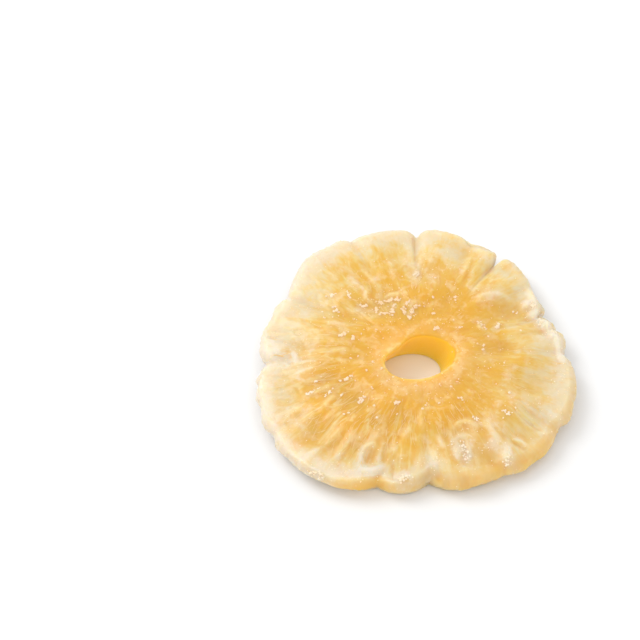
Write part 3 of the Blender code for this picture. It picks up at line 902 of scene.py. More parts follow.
def ring_points():
    """Points of the skin in millimetres about the hole, and the values each point carries."""
    bearing = np.arange(SPOKES)[:, None] * (360.0 / SPOKES)
    heading = np.radians(bearing)
    rim = rim_reach(bearing)
    base, offset, lift, drop, face, wall = np.moveaxis(cross_section(bearing), -1, 0)
    hole_x, hole_y = hole_edge(bearing, np.clip(lift + drop / LIP_THICKNESS, 0.0, 1.0))
    x = (1.0 - base) * hole_x + (base * rim + offset) * np.cos(heading)
    y = (1.0 - base) * hole_y + (base * rim + offset) * np.sin(heading)
    height = lift * thickness(bearing, np.hypot(x, y) / rim) + drop
    round_rim = rim * heading
    bulge = WALL_SWELL * uneven(round_rim, 2.0 * height, WALL_WAVE, FIBRE_SEED + 4)
    bulge = wall * (bulge + WALL_FIBRE * uneven(round_rim, 0.4 * height, WALL_FIBRE_WAVE, FIBRE_SEED + 5))
    x = x + bulge * np.cos(heading)
    y = y + bulge * np.sin(heading)
    under = np.where(lift + drop > 0.0, 0.0, 1.0)
    fold = folds(x, y)
    hair = fine_fibre(*polar(x, y))
    mound = pads(x, y)
    fine = hair + crinkle(x, y)
    height = height + face * (mound + fold + fine) + under * underside_relief(x, y) + edge_curl(x, y)
    carried = {
        "out_share": np.hypot(x, y) / rim,
        "fold": face * fold,
        "hair": face * hair,
        "mound": face * mound,
        "face": face,
        "wall": wall,
        "base": np.where(face > 0.0, base, 1.0),
        "bore": smooth_step(1.0 - face, 0.4, 1.0) * (1.0 - smooth_step(base, 0.0, 0.02)) * (1.0 - under),
    }
    return np.stack([x, y, height], axis=-1), carried


points, carried = ring_points()
print("points of the skin:", points.shape[0] * points.shape[1])


# %% The finish at every point
def finish_values(points, carried):
    """The values that the material reads, from the values of the form."""
    x, y, height = np.moveaxis(points, -1, 0)
    bearing, reach = polar(x, y)
    heading = np.radians(bearing)
    along = reach / GRAIN_LENGTH + height / GRAIN_DEPTH
    clear = clear_at(bearing, carried)
    dry = (1.0 - clear) * (1.0 - carried["bore"])
    return {
        "tone": tone_at(x, y, bearing, carried),
        "frost": dry * frost_at(x, y, bearing, carried),
        "wisps": dry * wisps_at(bearing, reach, carried),
        "clear": clear,
        "bore": carried["bore"],
        "wall": carried["wall"],
        "grain": np.stack([GRAIN_ROUND * np.cos(heading), GRAIN_ROUND * np.sin(heading), along], axis=-1),
    }


values = finish_values(points, carried)
print("values for the material:", ", ".join(values))

# %% Into the frame
raw_low = points.reshape(-1, 3).min(axis=0)
raw_high = points.reshape(-1, 3).max(axis=0)
shift = np.array([*(RING_MIDDLE[:2] - (raw_low[:2] + raw_high[:2]) / 2.0), -raw_low[2]])
points = points + shift
points[..., 2] = np.minimum(points[..., 2], RING_TOP)
print("shift to the frame in millimetres:", np.round(shift, 3))


# %% The mesh
def add_object(name, data):
    """Put new data in the scene as an object."""
    item = bpy.data.objects.new(name, data)
    bpy.context.scene.collection.objects.link(item)
    return item


def skin_mesh(name, points, values):
    """Join the spokes into one closed skin of quads that carries the values."""
    spokes, stations = points.shape[:2]
    index = np.arange(spokes * stations).reshape(spokes, stations)
    next_spoke = np.roll(index, -1, axis=0)
    across = np.roll(next_spoke, -1, axis=1)
    next_station = np.roll(index, -1, axis=1)
    faces = np.stack([index, next_spoke, across, next_station], axis=-1).reshape(-1, 4)
    mesh = bpy.data.meshes.new(name)
    mesh.from_pydata((points.reshape(-1, 3) * MM).tolist(), [], faces.tolist())
    for label, value in values.items():
        kind, field = ("FLOAT_VECTOR", "vector") if value.ndim == 3 else ("FLOAT", "value")
        layer = mesh.attributes.new(label, kind, "POINT")
        layer.data.foreach_set(field, value.reshape(-1).astype(np.float32))
    mesh.shade_smooth()
    mesh.update()
    return mesh


flesh = add_object("ring_flesh", skin_mesh("ring_flesh", points, values))
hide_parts("pineapple_ring")
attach(flesh, "root")
print("skin quads:", len(flesh.data.polygons))

# %% [markdown]
# ## Building a material from nodes
#
# A material in Blender is a tree of nodes. Nodes can be placed by hand in the shader
# editor, but a script that says "mix these two colours by this amount" is easier to read
# and to change. These helpers each add one node and give back its result.

# %% Nodes and arithmetic
def join(tree, value, socket):
    """Link a socket to a socket, or set it to a plain value."""
    if isinstance(value, bpy.types.NodeSocket):
        tree.links.new(value, socket)
    else:
        socket.default_value = value


def add_node(tree, kind, **inputs):
    """Add a node and join its named inputs (an underscore stands for a space)."""
    node = tree.nodes.new("ShaderNode" + kind)
    for label, value in inputs.items():
        join(tree, value, node.inputs[label.replace("_", " ")])
    return node


def math_node(tree, operation, *values, clamp=False):
    """Arithmetic on one to three numbers."""
    node = tree.nodes.new("ShaderNodeMath")
    node.operation = operation
    node.use_clamp = clamp
    for value, socket in zip(values, node.inputs):
        join(tree, value, socket)
    return node.outputs["Value"]


def rescale(tree, value, low, high, new_low, new_high):
    """Stretch a number from one span to another, held inside the new one."""
    node = add_node(tree, "MapRange", Value=value)
    for label, limit in (("From Min", low), ("From Max", high), ("To Min", new_low), ("To Max", new_high)):
        node.inputs[label].default_value = limit
    return node.outputs["Result"]


print("helpers made: join, add_node, math_node, rescale")


# %% Colours, attributes and noise
def mix_colour(tree, share, first, second, blend="MIX"):
    """Blend two colours."""
    node = tree.nodes.new("ShaderNodeMix")
    node.data_type = "RGBA"
    node.blend_type = blend
    join(tree, share, node.inputs[0])
    join(tree, first, node.inputs[6])
    join(tree, second, node.inputs[7])
    return node.outputs[2]


def colour_ramp(tree, value, stops):
    """Colours along a number, from a list of places and colours."""
    node = tree.nodes.new("ShaderNodeValToRGB")
    join(tree, value, node.inputs["Fac"])
    ramp = node.color_ramp
    while len(ramp.elements) < len(stops):
        ramp.elements.new(0.5)
    for element, (place, colour) in zip(ramp.elements, stops):
        element.position = place
        element.color = (*colour, 1.0)
    return node.outputs["Color"]


def attribute(tree, label, output):
    """Read a value that the mesh carries."""
    node = tree.nodes.new("ShaderNodeAttribute")
    node.attribute_name = label
    return node.outputs[output]


def noise(tree, place, scale, detail, roughness=0.5, distortion=0.0):
    """Noise between 0 and 1 at a place."""
    node = add_node(tree, "TexNoise", Vector=place, Scale=scale, Detail=detail, Roughness=roughness)
    node.inputs["Distortion"].default_value = distortion
    return node.outputs["Fac"]


print("helpers made: mix_colour, colour_ramp, attribute, noise")


# %% Materials and their shader
def new_material(name):
    """A new material and its tree of nodes."""
    material = bpy.data.materials.new(name)
    material.use_nodes = True
    return material, material.node_tree


def object_place(tree):
    """Places on the object, in metres, for a texture to read."""
    return tree.nodes.new("ShaderNodeTexCoord").outputs["Object"]


def bump(tree, height):
    """The normal of a surface with a height in metres."""
    return add_node(tree, "Bump", Height=height, Strength=1.0, Distance=1.0).outputs["Normal"]


def shade(tree, **values):
    """Join values to a material's shader (an underscore stands for a space)."""
    for label, value in values.items():
        join(tree, value, tree.nodes["Principled BSDF"].inputs[label.replace("_", " ")])


print("helpers made: new_material, object_place, bump, shade")

# %% [markdown]
# ## Sugar frost, shared by all that is dry
#
# The same crust of tiny crystals lies on the flesh, on the loose threads and on the
# crumbs, so it is one node group with an amount. It gives back a mask, patchy at two
# scales, and a height for the bump.

# %% The frost group
# Scale, detail and roughness of the patches and of the grains
FROST_PATCH_NOISE = (480.0, 3.0, 0.6)
FROST_GRAIN_NOISE = (2600.0, 2.0, 0.6)
PATCH_SHAKE = 0.50
GRAIN_SHAKE = 0.08


def frost_group():
    """Node group: a patchy crust of sugar."""
    group = bpy.data.node_groups.new("sugar_frost", "ShaderNodeTree")
    for label, kind, way in (
        ("Amount", "NodeSocketFloat", "INPUT"),
        ("Place", "NodeSocketVector", "INPUT"),
        ("Mask", "NodeSocketFloat", "OUTPUT"),
        ("Height", "NodeSocketFloat", "OUTPUT"),
    ):
        group.interface.new_socket(name=label, in_out=way, socket_type=kind)
    given = group.nodes.new("NodeGroupInput")
    result = group.nodes.new("NodeGroupOutput")
    patches = noise(group, given.outputs["Place"], *FROST_PATCH_NOISE)
    grains = noise(group, given.outputs["Place"], *FROST_GRAIN_NOISE)
    wide = rescale(group, patches, 0.30, 0.70, -PATCH_SHAKE, PATCH_SHAKE)
    speckle = rescale(group, grains, 0.35, 0.65, -GRAIN_SHAKE, GRAIN_SHAKE)
    uneven_amount = math_node(group, "ADD", math_node(group, "ADD", wide, speckle), 1.0)
    mask = math_node(group, "MULTIPLY", given.outputs["Amount"], uneven_amount, clamp=True)
    group.links.new(mask, result.inputs["Mask"])
    group.links.new(math_node(group, "MULTIPLY", mask, grains), result.inputs["Height"])
    return group


FROST_GROUP = frost_group()


def add_frost(tree, amount, place):
    """Place the frost group in a material and return its mask and height."""
    node = tree.nodes.new("ShaderNodeGroup")
    node.node_tree = FROST_GROUP
    join(tree, amount, node.inputs["Amount"])
    join(tree, place, node.inputs["Place"])
    return node.outputs["Mask"], node.outputs["Height"]


print("nodes in the frost group:", len(FROST_GROUP.nodes))

# %% [markdown]
# ## The flesh
#
# Candied flesh lets light in and scatters it, so its shading is soft and its shadows
# glow. Subsurface scattering does that, with a long path for red and a short one for
# blue. Under the frost lies the colour: the tone, shaken by a broad, a fine and a blotchy
# noise, picks a place on a ramp from orange to cream, and pale wisps and clear flesh are
# mixed over it. A mottled dust of sugar lies on the orange part too.
#
# Two things are painted light. The rim wall gets painted shade where it is dry, a darker
# tint that keeps it from looking brighter than the face under the lamp. The wall of the
# hole gets a brighter amber, partly its own colour and partly painted light, and a faint
# painted glow, both for light that reaches it through the flesh and that the scattering
# alone doesn't carry far enough.

# %% Colours of the flesh
FLESH_STOPS = (
    (0.26, (0.735, 0.383, 0.020)),
    (0.50, (0.735, 0.400, 0.024)),
    (0.68, (0.740, 0.460, 0.078)),
    (0.82, (0.745, 0.545, 0.205)),
    (0.96, (0.715, 0.595, 0.360)),
)
CORE_FROST_COLOUR = (0.83, 0.58, 0.25, 1.0)
RIM_FROST_COLOUR = (0.79, 0.71, 0.59, 1.0)
WISP_COLOUR = (0.81, 0.62, 0.27, 1.0)
# Painted shade: a darker tint for the dry rim wall, which would otherwise look brighter than the face under
# the lamp
WALL_PAINTED_SHADE = (0.80, 0.78, 0.80, 1.0)
CLEAR_COLOUR = (0.75, 0.45, 0.09, 1.0)
# The hole's wall: an amber that is partly its own colour and partly painted light, and a painted glow, both
# for light that comes through the flesh
BORE_COLOUR_AND_PAINTED_LIGHT = (0.78, 0.49, 0.045, 1.0)
BORE_PAINTED_GLOW = (0.17, 0.093, 0.003, 1.0)
NO_GLOW = (0.0, 0.0, 0.0, 1.0)
SCATTER_PATH = (1.0, 0.72, 0.42)
SCATTER_DEPTH = 0.007
print("stops from orange to cream:", len(FLESH_STOPS))

# %% Patterns of the flesh
# Scale, detail, roughness and distortion of each noise
BROAD_NOISE = (0.55, 3.0, 0.6, 0.9)
FINE_NOISE = (1.6, 3.0, 0.6, 0.5)
BLOTCH_NOISE = (140.0, 3.0, 0.6, 0.4)
MOTTLE_NOISE = (330.0, 3.0, 0.55, 0.3)
# The part of a noise's range that is stretched, for shakes, for wisps and for dust
NOISE_SPAN = (0.3, 0.7)
WISP_STREAKS = (0.54, 0.66)
DUST_SPECKS = (0.50, 0.64)
# How far each noise shakes the tone
BROAD_SHAKE = 0.09
FINE_SHAKE = 0.05
BLOTCH_SHAKE = 0.15
# The tones between which a measure changes, and what it changes from and to
DUST_FADE = (0.50, 0.85, 0.62, 0.20)
FROST_PALING = (0.45, 0.85, 0.0, 1.0)
WISP_STRENGTH = 0.80
FROST_COVER = 0.85
WET_ROUGHNESS = 0.30
FROSTED_ROUGHNESS = 0.55
COAT_WEIGHT = 0.12
COAT_ROUGHNESS = 0.2
LINE_HEIGHT = 0.00006
CRUST_HEIGHT = 0.00018
print("height of the crust in millimetres:", CRUST_HEIGHT / MM)


# %% The flesh material
def flesh_material():
    """Candied flesh: streaks, wet pockets and frost, with painted shade on the dry rim wall and a painted
    glow in the hole.
    """
    material, tree = new_material("dried_flesh")
    tone = attribute(tree, "tone", "Fac")
    clear = attribute(tree, "clear", "Fac")
    bore = attribute(tree, "bore", "Fac")
    grain = attribute(tree, "grain", "Vector")
    place = object_place(tree)
    broad = noise(tree, grain, *BROAD_NOISE)
    fine = noise(tree, grain, *FINE_NOISE)
    blotch = noise(tree, place, *BLOTCH_NOISE)
    mottle = noise(tree, place, *MOTTLE_NOISE)

    streak = tone
    for pattern, shake in ((broad, BROAD_SHAKE), (fine, FINE_SHAKE), (blotch, BLOTCH_SHAKE)):
        streak = math_node(tree, "ADD", streak, rescale(tree, pattern, *NOISE_SPAN, -shake, shake))
    colour = colour_ramp(tree, streak, FLESH_STOPS)
    colour = mix_colour(tree, clear, colour, CLEAR_COLOUR)
    wisp = rescale(tree, broad, *WISP_STREAKS, 0.0, WISP_STRENGTH)
    wisp = math_node(tree, "MULTIPLY", wisp, attribute(tree, "wisps", "Fac"))
    colour = mix_colour(tree, wisp, colour, WISP_COLOUR)

    dry = math_node(tree, "SUBTRACT", 1.0, clear, clamp=True)
    dust = rescale(tree, mottle, *DUST_SPECKS, 0.0, 1.0)
    dust = math_node(tree, "MULTIPLY", dust, rescale(tree, tone, *DUST_FADE))
    amount = math_node(tree, "ADD", attribute(tree, "frost", "Fac"), math_node(tree, "MULTIPLY", dust, dry))
    mask, crust = add_frost(tree, amount, place)
    frost = mix_colour(tree, rescale(tree, tone, *FROST_PALING), CORE_FROST_COLOUR, RIM_FROST_COLOUR)
    colour = mix_colour(tree, math_node(tree, "MULTIPLY", mask, FROST_COVER), colour, frost)
    # Painted shade on the dry rim wall
    painted_shade = math_node(tree, "MULTIPLY", attribute(tree, "wall", "Fac"), dry)
    colour = mix_colour(tree, painted_shade, colour, WALL_PAINTED_SHADE, "MULTIPLY")

    lines = math_node(tree, "MULTIPLY", fine, LINE_HEIGHT)
    height = math_node(tree, "ADD", lines, math_node(tree, "MULTIPLY", crust, CRUST_HEIGHT))
    # In the hole: the brighter amber and the painted glow, painted light from light coming through the
    # flesh
    shade(
        tree,
        Base_Color=mix_colour(tree, bore, colour, BORE_COLOUR_AND_PAINTED_LIGHT),
        Roughness=rescale(tree, mask, 0.0, 1.0, WET_ROUGHNESS, FROSTED_ROUGHNESS),
        Normal=bump(tree, height),
        Subsurface_Weight=1.0,
        Subsurface_Radius=SCATTER_PATH,
        Subsurface_Scale=SCATTER_DEPTH,
        Emission_Color=mix_colour(tree, bore, NO_GLOW, BORE_PAINTED_GLOW),
        Emission_Strength=1.0,
        Coat_Weight=COAT_WEIGHT,
        Coat_Roughness=COAT_ROUGHNESS,
    )
    return material


flesh.data.materials.append(flesh_material())
print("flesh nodes:", len(flesh.data.materials[0].node_tree.nodes))

# %% [markdown]
# ## Threads
#
# Where the knife cut across the fibre, thin threads lie on the face, paler than the
# flesh and half sunk in it. They are finer than the skin's own mesh can show, so they
# are a piece of their own: short tapered rods, each with a crest and a sunk keel, laid
# along the spokes and let down onto the skin by casting a ray for each point.

# %% A surface to lay things on
skin_tree = BVHTree.FromObject(flesh, bpy.context.evaluated_depsgraph_get())
DOWN = Vector((0.0, 0.0, -1.0))


def skin_height(x, y):
    """Height of the skin under a place, in millimetres, or None beside the ring."""
    hit, _, _, _ = skin_tree.ray_cast(Vector((x * MM, y * MM, 1.0)), DOWN)
    return None if hit is None else hit.z / MM


print("height of the skin at 20, 0:", round(skin_height(20.0, 0.0), 2))


# %% Threads along the spokes
THREAD_SEED = 5
THREAD_STEPS = 8
THREAD_SINK = 0.10
# Bearing in the middle, half-spread, reach from and to, shortest and longest, how many
THREAD_FIELDS = (
    (222.0, 26.0, 20.0, 36.0, 1.5, 6.0, 90),
    (180.0, 18.0, 20.0, 36.0, 1.5, 5.0, 40),
    (275.0, 26.0, 16.0, 27.0, 1.5, 5.0, 40),
    (335.0, 28.0, 16.0, 34.0, 2.0, 6.0, 30),
    (90.0, 40.0, 16.0, 28.0, 1.0, 3.5, 20),
    (140.0, 20.0, 14.0, 30.0, 1.0, 4.0, 25),
    (0.0, 180.0, 10.0, 22.0, 0.8, 2.2, 80),
)
THREAD_WIDTH = (0.10, 0.24)
THREAD_PROUD = (0.02, 0.06)
THREAD_SWING = 3.5
THREAD_BEND = 0.8
THREAD_END_GAP = 2.0
THREAD_BLUNT = 0.04
THREAD_TAPER = 0.6
THREAD_HEADROOM = 0.1
print("threads asked for:", sum(row[-1] for row in THREAD_FIELDS))


# %% Where a thread runs, and its rod
def thread_rows(draw, field):
    """The crests of one field's threads: places, half-widths and heights above the skin."""
    middle, spread, near, far, shortest, longest, count = field
    for _ in range(count):
        bearing = middle + spread * draw.uniform(-1.0, 1.0)
        start = draw.uniform(near, far)
        length = draw.uniform(shortest, longest)
        swing = draw.uniform(-THREAD_SWING, THREAD_SWING)
        share = np.linspace(0.0, 1.0, THREAD_STEPS)
        reach = np.minimum(start + length * share, rim_reach(np.array([bearing]))[0] - THREAD_END_GAP)
        bend = draw.uniform(-THREAD_BEND, THREAD_BEND) * np.sin(np.pi * share)
        heading = np.radians(bearing + swing * share + bend)
        taper = np.sin(np.pi * (THREAD_BLUNT + (1.0 - 2.0 * THREAD_BLUNT) * share)) ** THREAD_TAPER
        yield (
            shift[0] + reach * np.cos(heading),
            shift[1] + reach * np.sin(heading),
            draw.uniform(*THREAD_WIDTH) * taper,
            draw.uniform(*THREAD_PROUD) * taper,
        )


def rod_points(x, y, width, proud):
    """Four corners (left, crest, right, keel) at each step of a thread, or None off the ring."""
    heights = [skin_height(*place) for place in zip(x, y)]
    if None in heights or max(heights) > RING_TOP - THREAD_HEADROOM:
        return None
    z = np.array(heights)
    run = math.atan2(y[-1] - y[0], x[-1] - x[0])
    side_x = -math.sin(run) * width
    side_y = math.cos(run) * width
    left = np.stack([x + side_x, y + side_y, z - THREAD_SINK], axis=-1)
    crest = np.stack([x, y, z + proud], axis=-1)
    right = np.stack([x - side_x, y - side_y, z - THREAD_SINK], axis=-1)
    keel = np.stack([x, y, z - 2.0 * THREAD_SINK], axis=-1)
    return np.stack([left, crest, right, keel], axis=1)


def rod_faces(steps):
    """Quads round a rod of four corners a step, and a cap at each end."""
    faces = [(0, 1, 2, 3)]
    for here in range(0, 4 * (steps - 1), 4):
        for corner in range(4):
            beside = here + (corner + 1) % 4
            faces.append((here + corner, here + corner + 4, beside + 4, beside))
    last = 4 * (steps - 1)
    return faces + [(last + 3, last + 2, last + 1, last)]


print("faces of a thread:", len(rod_faces(THREAD_STEPS)))


# %% A piece out of many small parts
def add_piece(name, parts, faces, material, smooth=True):
    """One piece of the ring from parts in millimetres that all have the same faces."""
    points = np.concatenate(parts)
    starts = np.arange(len(parts)) * len(parts[0])
    mesh = bpy.data.meshes.new(name)
    quads = (np.array(faces)[None] + starts[:, None, None]).reshape(-1, len(faces[0]))
    mesh.from_pydata((points * MM).tolist(), [], quads.tolist())
    mesh.materials.append(material)
    if smooth:
        mesh.shade_smooth()
    mesh.update()
    piece = add_object(name, mesh)
    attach(piece, "root")
    return piece


print("helper made: add_piece")

# %% The thread material and the threads
THREAD_FROST = 0.5
THREAD_DRY_COLOUR = (0.84, 0.54, 0.17, 1.0)
THREAD_FROST_COLOUR = (0.85, 0.64, 0.33, 1.0)
THREAD_ROUGHNESS = (0.32, 0.50)
THREAD_CRUST_HEIGHT = 0.00006


def thread_material():
    """Pale dry fibre with a little frost."""
    material, tree = new_material("dry_thread")
    mask, crust = add_frost(tree, THREAD_FROST, object_place(tree))
    shade(
        tree,
        Base_Color=mix_colour(tree, mask, THREAD_DRY_COLOUR, THREAD_FROST_COLOUR),
        Roughness=rescale(tree, mask, 0.0, 1.0, *THREAD_ROUGHNESS),
        Normal=bump(tree, math_node(tree, "MULTIPLY", crust, THREAD_CRUST_HEIGHT)),
    )
    return material


def lay_threads():
    """All the threads as one piece."""
    draw = np.random.default_rng(THREAD_SEED)
    rods = [rod_points(*row) for field in THREAD_FIELDS for row in thread_rows(draw, field)]
    parts = [rod.reshape(-1, 3) for rod in rods if rod is not None]
    return add_piece("ring_threads", parts, rod_faces(THREAD_STEPS), thread_material())


threads = lay_threads()
print("thread faces:", len(threads.data.polygons))

# %% [markdown]
# ## Crumbs and crystals
#
# Two kinds of loose sugar lie on the ring. Crumbs are pinkish lumps about two millimetres
# long, mostly above the hole. A single ball would look like a bead, so a crumb is a clump
# of ten to eighteen grains, and each grain is a ball pressed flat and dented. Crystals
# are little boxes that have grown where the syrup dried. Every one is turned its own way
# and half sunk. Both are tinted by syrup near the hole and whiter towards the rim. Both
# also get a trace of painted glow, a painted light that lifts their shaded sides, as real
# sugar passes on light from the flesh below it.

# %% Colour of loose sugar
SUGAR_TURNS_FROM = 0.018
SUGAR_TURNS_TO = 0.033


def sugar_colour(tree, place, share, inner, outer):
    """Colour of loose sugar: two syrupy tints by the hole, two whiter ones by the rim."""
    reach = tree.nodes.new("ShaderNodeVectorMath")
    reach.operation = "LENGTH"
    join(tree, place, reach.inputs[0])
    outward = rescale(tree, reach.outputs["Value"], SUGAR_TURNS_FROM, SUGAR_TURNS_TO, 0.0, 1.0)
    return mix_colour(tree, outward, mix_colour(tree, share, *inner), mix_colour(tree, share, *outer))


print("sugar pales between", SUGAR_TURNS_FROM / MM, "and", SUGAR_TURNS_TO / MM, "millimetres out")

# %% Crumbs
CRUMB_SEED = 17
GRAIN_HALF = (0.13, 0.34)
GRAIN_UNLIKE = (0.75, 1.25)
GRAIN_SQUASH = (1.0, 1.0, 0.45)
GRAIN_WAVE = 0.15
GRAIN_DENT = 0.12
CRUMB_INNER = ((0.82, 0.55, 0.25, 1.0), (0.85, 0.65, 0.43, 1.0))
CRUMB_OUTER = ((0.85, 0.69, 0.45, 1.0), (0.88, 0.79, 0.64, 1.0))
# Painted glow that lifts the shaded sides of the crumbs
CRUMB_PAINTED_GLOW = (0.05, 0.035, 0.02, 1.0)
GRAINS_PER_CRUMB = (10, 19)
CLUMP_SPREAD = 0.6
CLUMP_LIMIT = 1.3
CRUMB_FROST = 0.7
CRUMB_ROUGHNESS = (0.25, 0.45)
CRUMB_CRUST_HEIGHT = 0.0001
SPECKS = 70
SPECK_REACH = (10.5, 29.0)
SPECK_SPREAD = (0.2, 0.7)
SPECK_OVAL = 0.6
GRAINS_PER_SPECK = (1, 4)
GRAIN_HEADROOM = 0.25
print("most grains in a crumb:", GRAINS_PER_CRUMB[1] - 1)

# %% Table of crumbs
# Place, half-length, half-width, direction of the long side in degrees
CRUMBS = (
    (-13.4, 14.8, 0.9, 0.45, 20.0),
    (-10.6, 13.6, 0.8, 0.5, 80.0),
    (-9.8, 15.9, 0.9, 0.4, 150.0),
    (-8.3, 12.2, 1.1, 0.55, 170.0),
    (-7.6, 16.6, 1.0, 0.4, 10.0),
    (-6.6, 12.6, 0.9, 0.5, 75.0),
    (-6.0, 14.6, 1.1, 0.5, 70.0),
    (-5.2, 16.8, 0.8, 0.4, 120.0),
    (-3.6, 13.1, 1.2, 0.5, 100.0),
    (-2.6, 15.2, 0.8, 0.45, 60.0),
    (-1.6, 12.6, 1.0, 0.45, 65.0),
    (-0.7, 14.0, 0.9, 0.4, 65.0),
    (-2.3, 10.6, 0.6, 0.45, 150.0),
    (4.6, 6.9, 0.8, 0.45, 35.0),
    (16.2, 8.4, 1.3, 0.5, 120.0),
    (20.4, 8.6, 0.9, 0.5, 60.0),
    (-17.6, 18.2, 1.0, 0.45, 100.0),
    (-20.6, 13.9, 1.1, 0.6, 160.0),
    (-22.0, 18.6, 1.1, 0.4, 175.0),
    (-16.9, 3.6, 0.7, 0.4, 60.0),
    (-19.6, 5.0, 0.9, 0.4, 30.0),
    (0.1, 25.6, 0.9, 0.6, 80.0),
    (-18.4, -8.6, 1.2, 0.4, 30.0),
    (-14.6, -14.8, 0.9, 0.4, 55.0),
    (-6.2, -16.4, 0.8, 0.4, 20.0),
    (13.2, -20.6, 1.0, 0.5, 150.0),
    (20.8, -18.6, 1.1, 0.4, 160.0),
    (-4.3, -36.4, 1.3, 0.7, 10.0),
    (10.6, -31.0, 1.3, 0.6, 70.0),
    (20.6, -31.4, 1.0, 0.6, 60.0),
    (-5.2, -37.0, 1.1, 0.6, 170.0),
    (-26.8, -34.8, 1.6, 0.5, 150.0),
    (-24.4, -35.8, 1.2, 0.4, 155.0),
    (9.8, -28.2, 1.4, 0.6, 80.0),
    (21.6, -34.6, 0.9, 0.6, 30.0),
    (-23.0, -13.0, 1.2, 0.35, 40.0),
    (-27.4, -12.2, 1.6, 0.35, 25.0),
    (31.6, 11.0, 1.0, 0.6, 100.0),
    (34.4, 7.4, 1.1, 0.6, 120.0),
    (29.6, 16.4, 0.9, 0.5, 90.0),
)
print("crumbs:", len(CRUMBS))


# %% The grains of a crumb
def unit_ball():
    """Points and triangles of a small round ball."""
    mesh = bmesh.new()
    bmesh.ops.create_icosphere(mesh, subdivisions=2, radius=1.0)
    ball = np.array([point.co[:] for point in mesh.verts])
    faces = np.array([[point.index for point in face.verts] for face in mesh.faces])
    mesh.free()
    return ball, faces


def grain_points(draw, x, y, ball):
    """One dented sugar grain, half sunk in the skin, or None beside the ring."""
    height = skin_height(x, y)
    if height is None or height > RING_TOP - GRAIN_HEADROOM:
        return None
    size = draw.uniform(*GRAIN_HALF) * draw.uniform(*GRAIN_UNLIKE, 3) * GRAIN_SQUASH
    wave = np.sin(3.6 * ball[:, :1] + draw.uniform(0.0, 6.0)) * np.cos(3.1 * ball[:, 1:2])
    dents = 1.0 + GRAIN_WAVE * wave + draw.uniform(-GRAIN_DENT, GRAIN_DENT, (len(ball), 1))
    return ball * size * dents + (x, y, height - 0.1 * size.min())


print("triangles of a grain:", len(unit_ball()[1]))


def crumb_places(draw):
    """Where each grain lies: clumps from the table, then specks drawn round the hole."""
    rows = [(*row, GRAINS_PER_CRUMB) for row in CRUMBS]
    for _ in range(SPECKS):
        bearing = draw.uniform(0.0, 2.0 * math.pi)
        reach = draw.uniform(*SPECK_REACH)
        spread = draw.uniform(*SPECK_SPREAD)
        x, y = reach * math.cos(bearing), reach * math.sin(bearing)
        rows.append((x, y, spread, SPECK_OVAL * spread, draw.uniform(0.0, 180.0), GRAINS_PER_SPECK))
    for x, y, length, width, turn, (fewest, most) in rows:
        heading = math.radians(turn)
        for _ in range(draw.integers(fewest, most)):
            along = length * np.clip(CLUMP_SPREAD * draw.normal(), -CLUMP_LIMIT, CLUMP_LIMIT)
            across = width * np.clip(CLUMP_SPREAD * draw.normal(), -CLUMP_LIMIT, CLUMP_LIMIT)
            yield (
                shift[0] + x + along * math.cos(heading) - across * math.sin(heading),
                shift[1] + y + along * math.sin(heading) + across * math.cos(heading),
            )


# %% The crumb material and the crumbs
def crumb_material():
    """Sugar crumbs, pinkish by the hole and whiter by the rim, with a faint painted glow."""
    material, tree = new_material("sugar_crumb")
    place = object_place(tree)
    mask, crust = add_frost(tree, CRUMB_FROST, place)
    shade(
        tree,
        Base_Color=sugar_colour(tree, place, mask, CRUMB_INNER, CRUMB_OUTER),
        Roughness=rescale(tree, mask, 0.0, 1.0, *CRUMB_ROUGHNESS),
        Normal=bump(tree, math_node(tree, "MULTIPLY", crust, CRUMB_CRUST_HEIGHT)),
        Emission_Color=CRUMB_PAINTED_GLOW,
        Emission_Strength=1.0,
    )
    return material


def scatter_crumbs():
    """All the crumbs as one piece."""
    draw = np.random.default_rng(CRUMB_SEED)
    ball, triangles = unit_ball()
    grains = [grain_points(draw, x, y, ball) for x, y in list(crumb_places(draw))]
    parts = [grain for grain in grains if grain is not None]
    return add_piece("sugar_crumbs", parts, triangles, crumb_material())


crumbs = scatter_crumbs()
print("crumb triangles:", len(crumbs.data.polygons))

# %% Crystals
CRYSTAL_SEED = 23
CRYSTALS = 1100
CRYSTAL_HALF = (0.05, 0.11)
CRYSTAL_UNLIKE = (0.7, 1.3)
CRYSTAL_TINT_SCALE = 900.0
CRYSTAL_INNER = ((0.86, 0.62, 0.28, 1.0), (0.88, 0.75, 0.52, 1.0))
CRYSTAL_OUTER = ((0.84, 0.69, 0.44, 1.0), (0.87, 0.79, 0.62, 1.0))
# Painted glow that lifts the shaded sides of the crystals, which would otherwise show as dark specks
CRYSTAL_PAINTED_GLOW = (0.12, 0.08, 0.04, 1.0)
# Chance that a crystal grows: anywhere, near the hole, on its lip and on frost
ANYWHERE_SHOWER = 0.03
CORE_SHOWER = 0.06
CORE_SHOWER_FROM = 18.0
CORE_SHOWER_TO = 30.0
LIP_SHOWER = 0.20
LIP_SHOWER_REACH = 10.5
LIP_SHOWER_WIDTH = 2.5
FROST_SHOWER = 0.8
# Crystals are drawn on a square of this half-size, and kept above the foot of the rim
SHOWER_HALF = 42.0
LOWEST_CRYSTAL = 3.0
CRYSTAL_HEADROOM = 0.2
print("crystals asked for:", CRYSTALS)


# %% Where a crystal grows, and its box
def crystal_wanted(x, y, draw):
    """Draw whether a crystal grows on a place: most on frost, fewer on wet flesh."""
    reach = math.hypot(x, y)
    likely = CORE_SHOWER * (1.0 - smooth_step(reach, CORE_SHOWER_FROM, CORE_SHOWER_TO)) + ANYWHERE_SHOWER
    likely = likely + LIP_SHOWER * math.exp(-((reach - LIP_SHOWER_REACH) / LIP_SHOWER_WIDTH) ** 2)
    for row in FROST_PATCHES:
        likely = likely + FROST_SHOWER * pad(x, y, *row)
    return draw.uniform() < likely


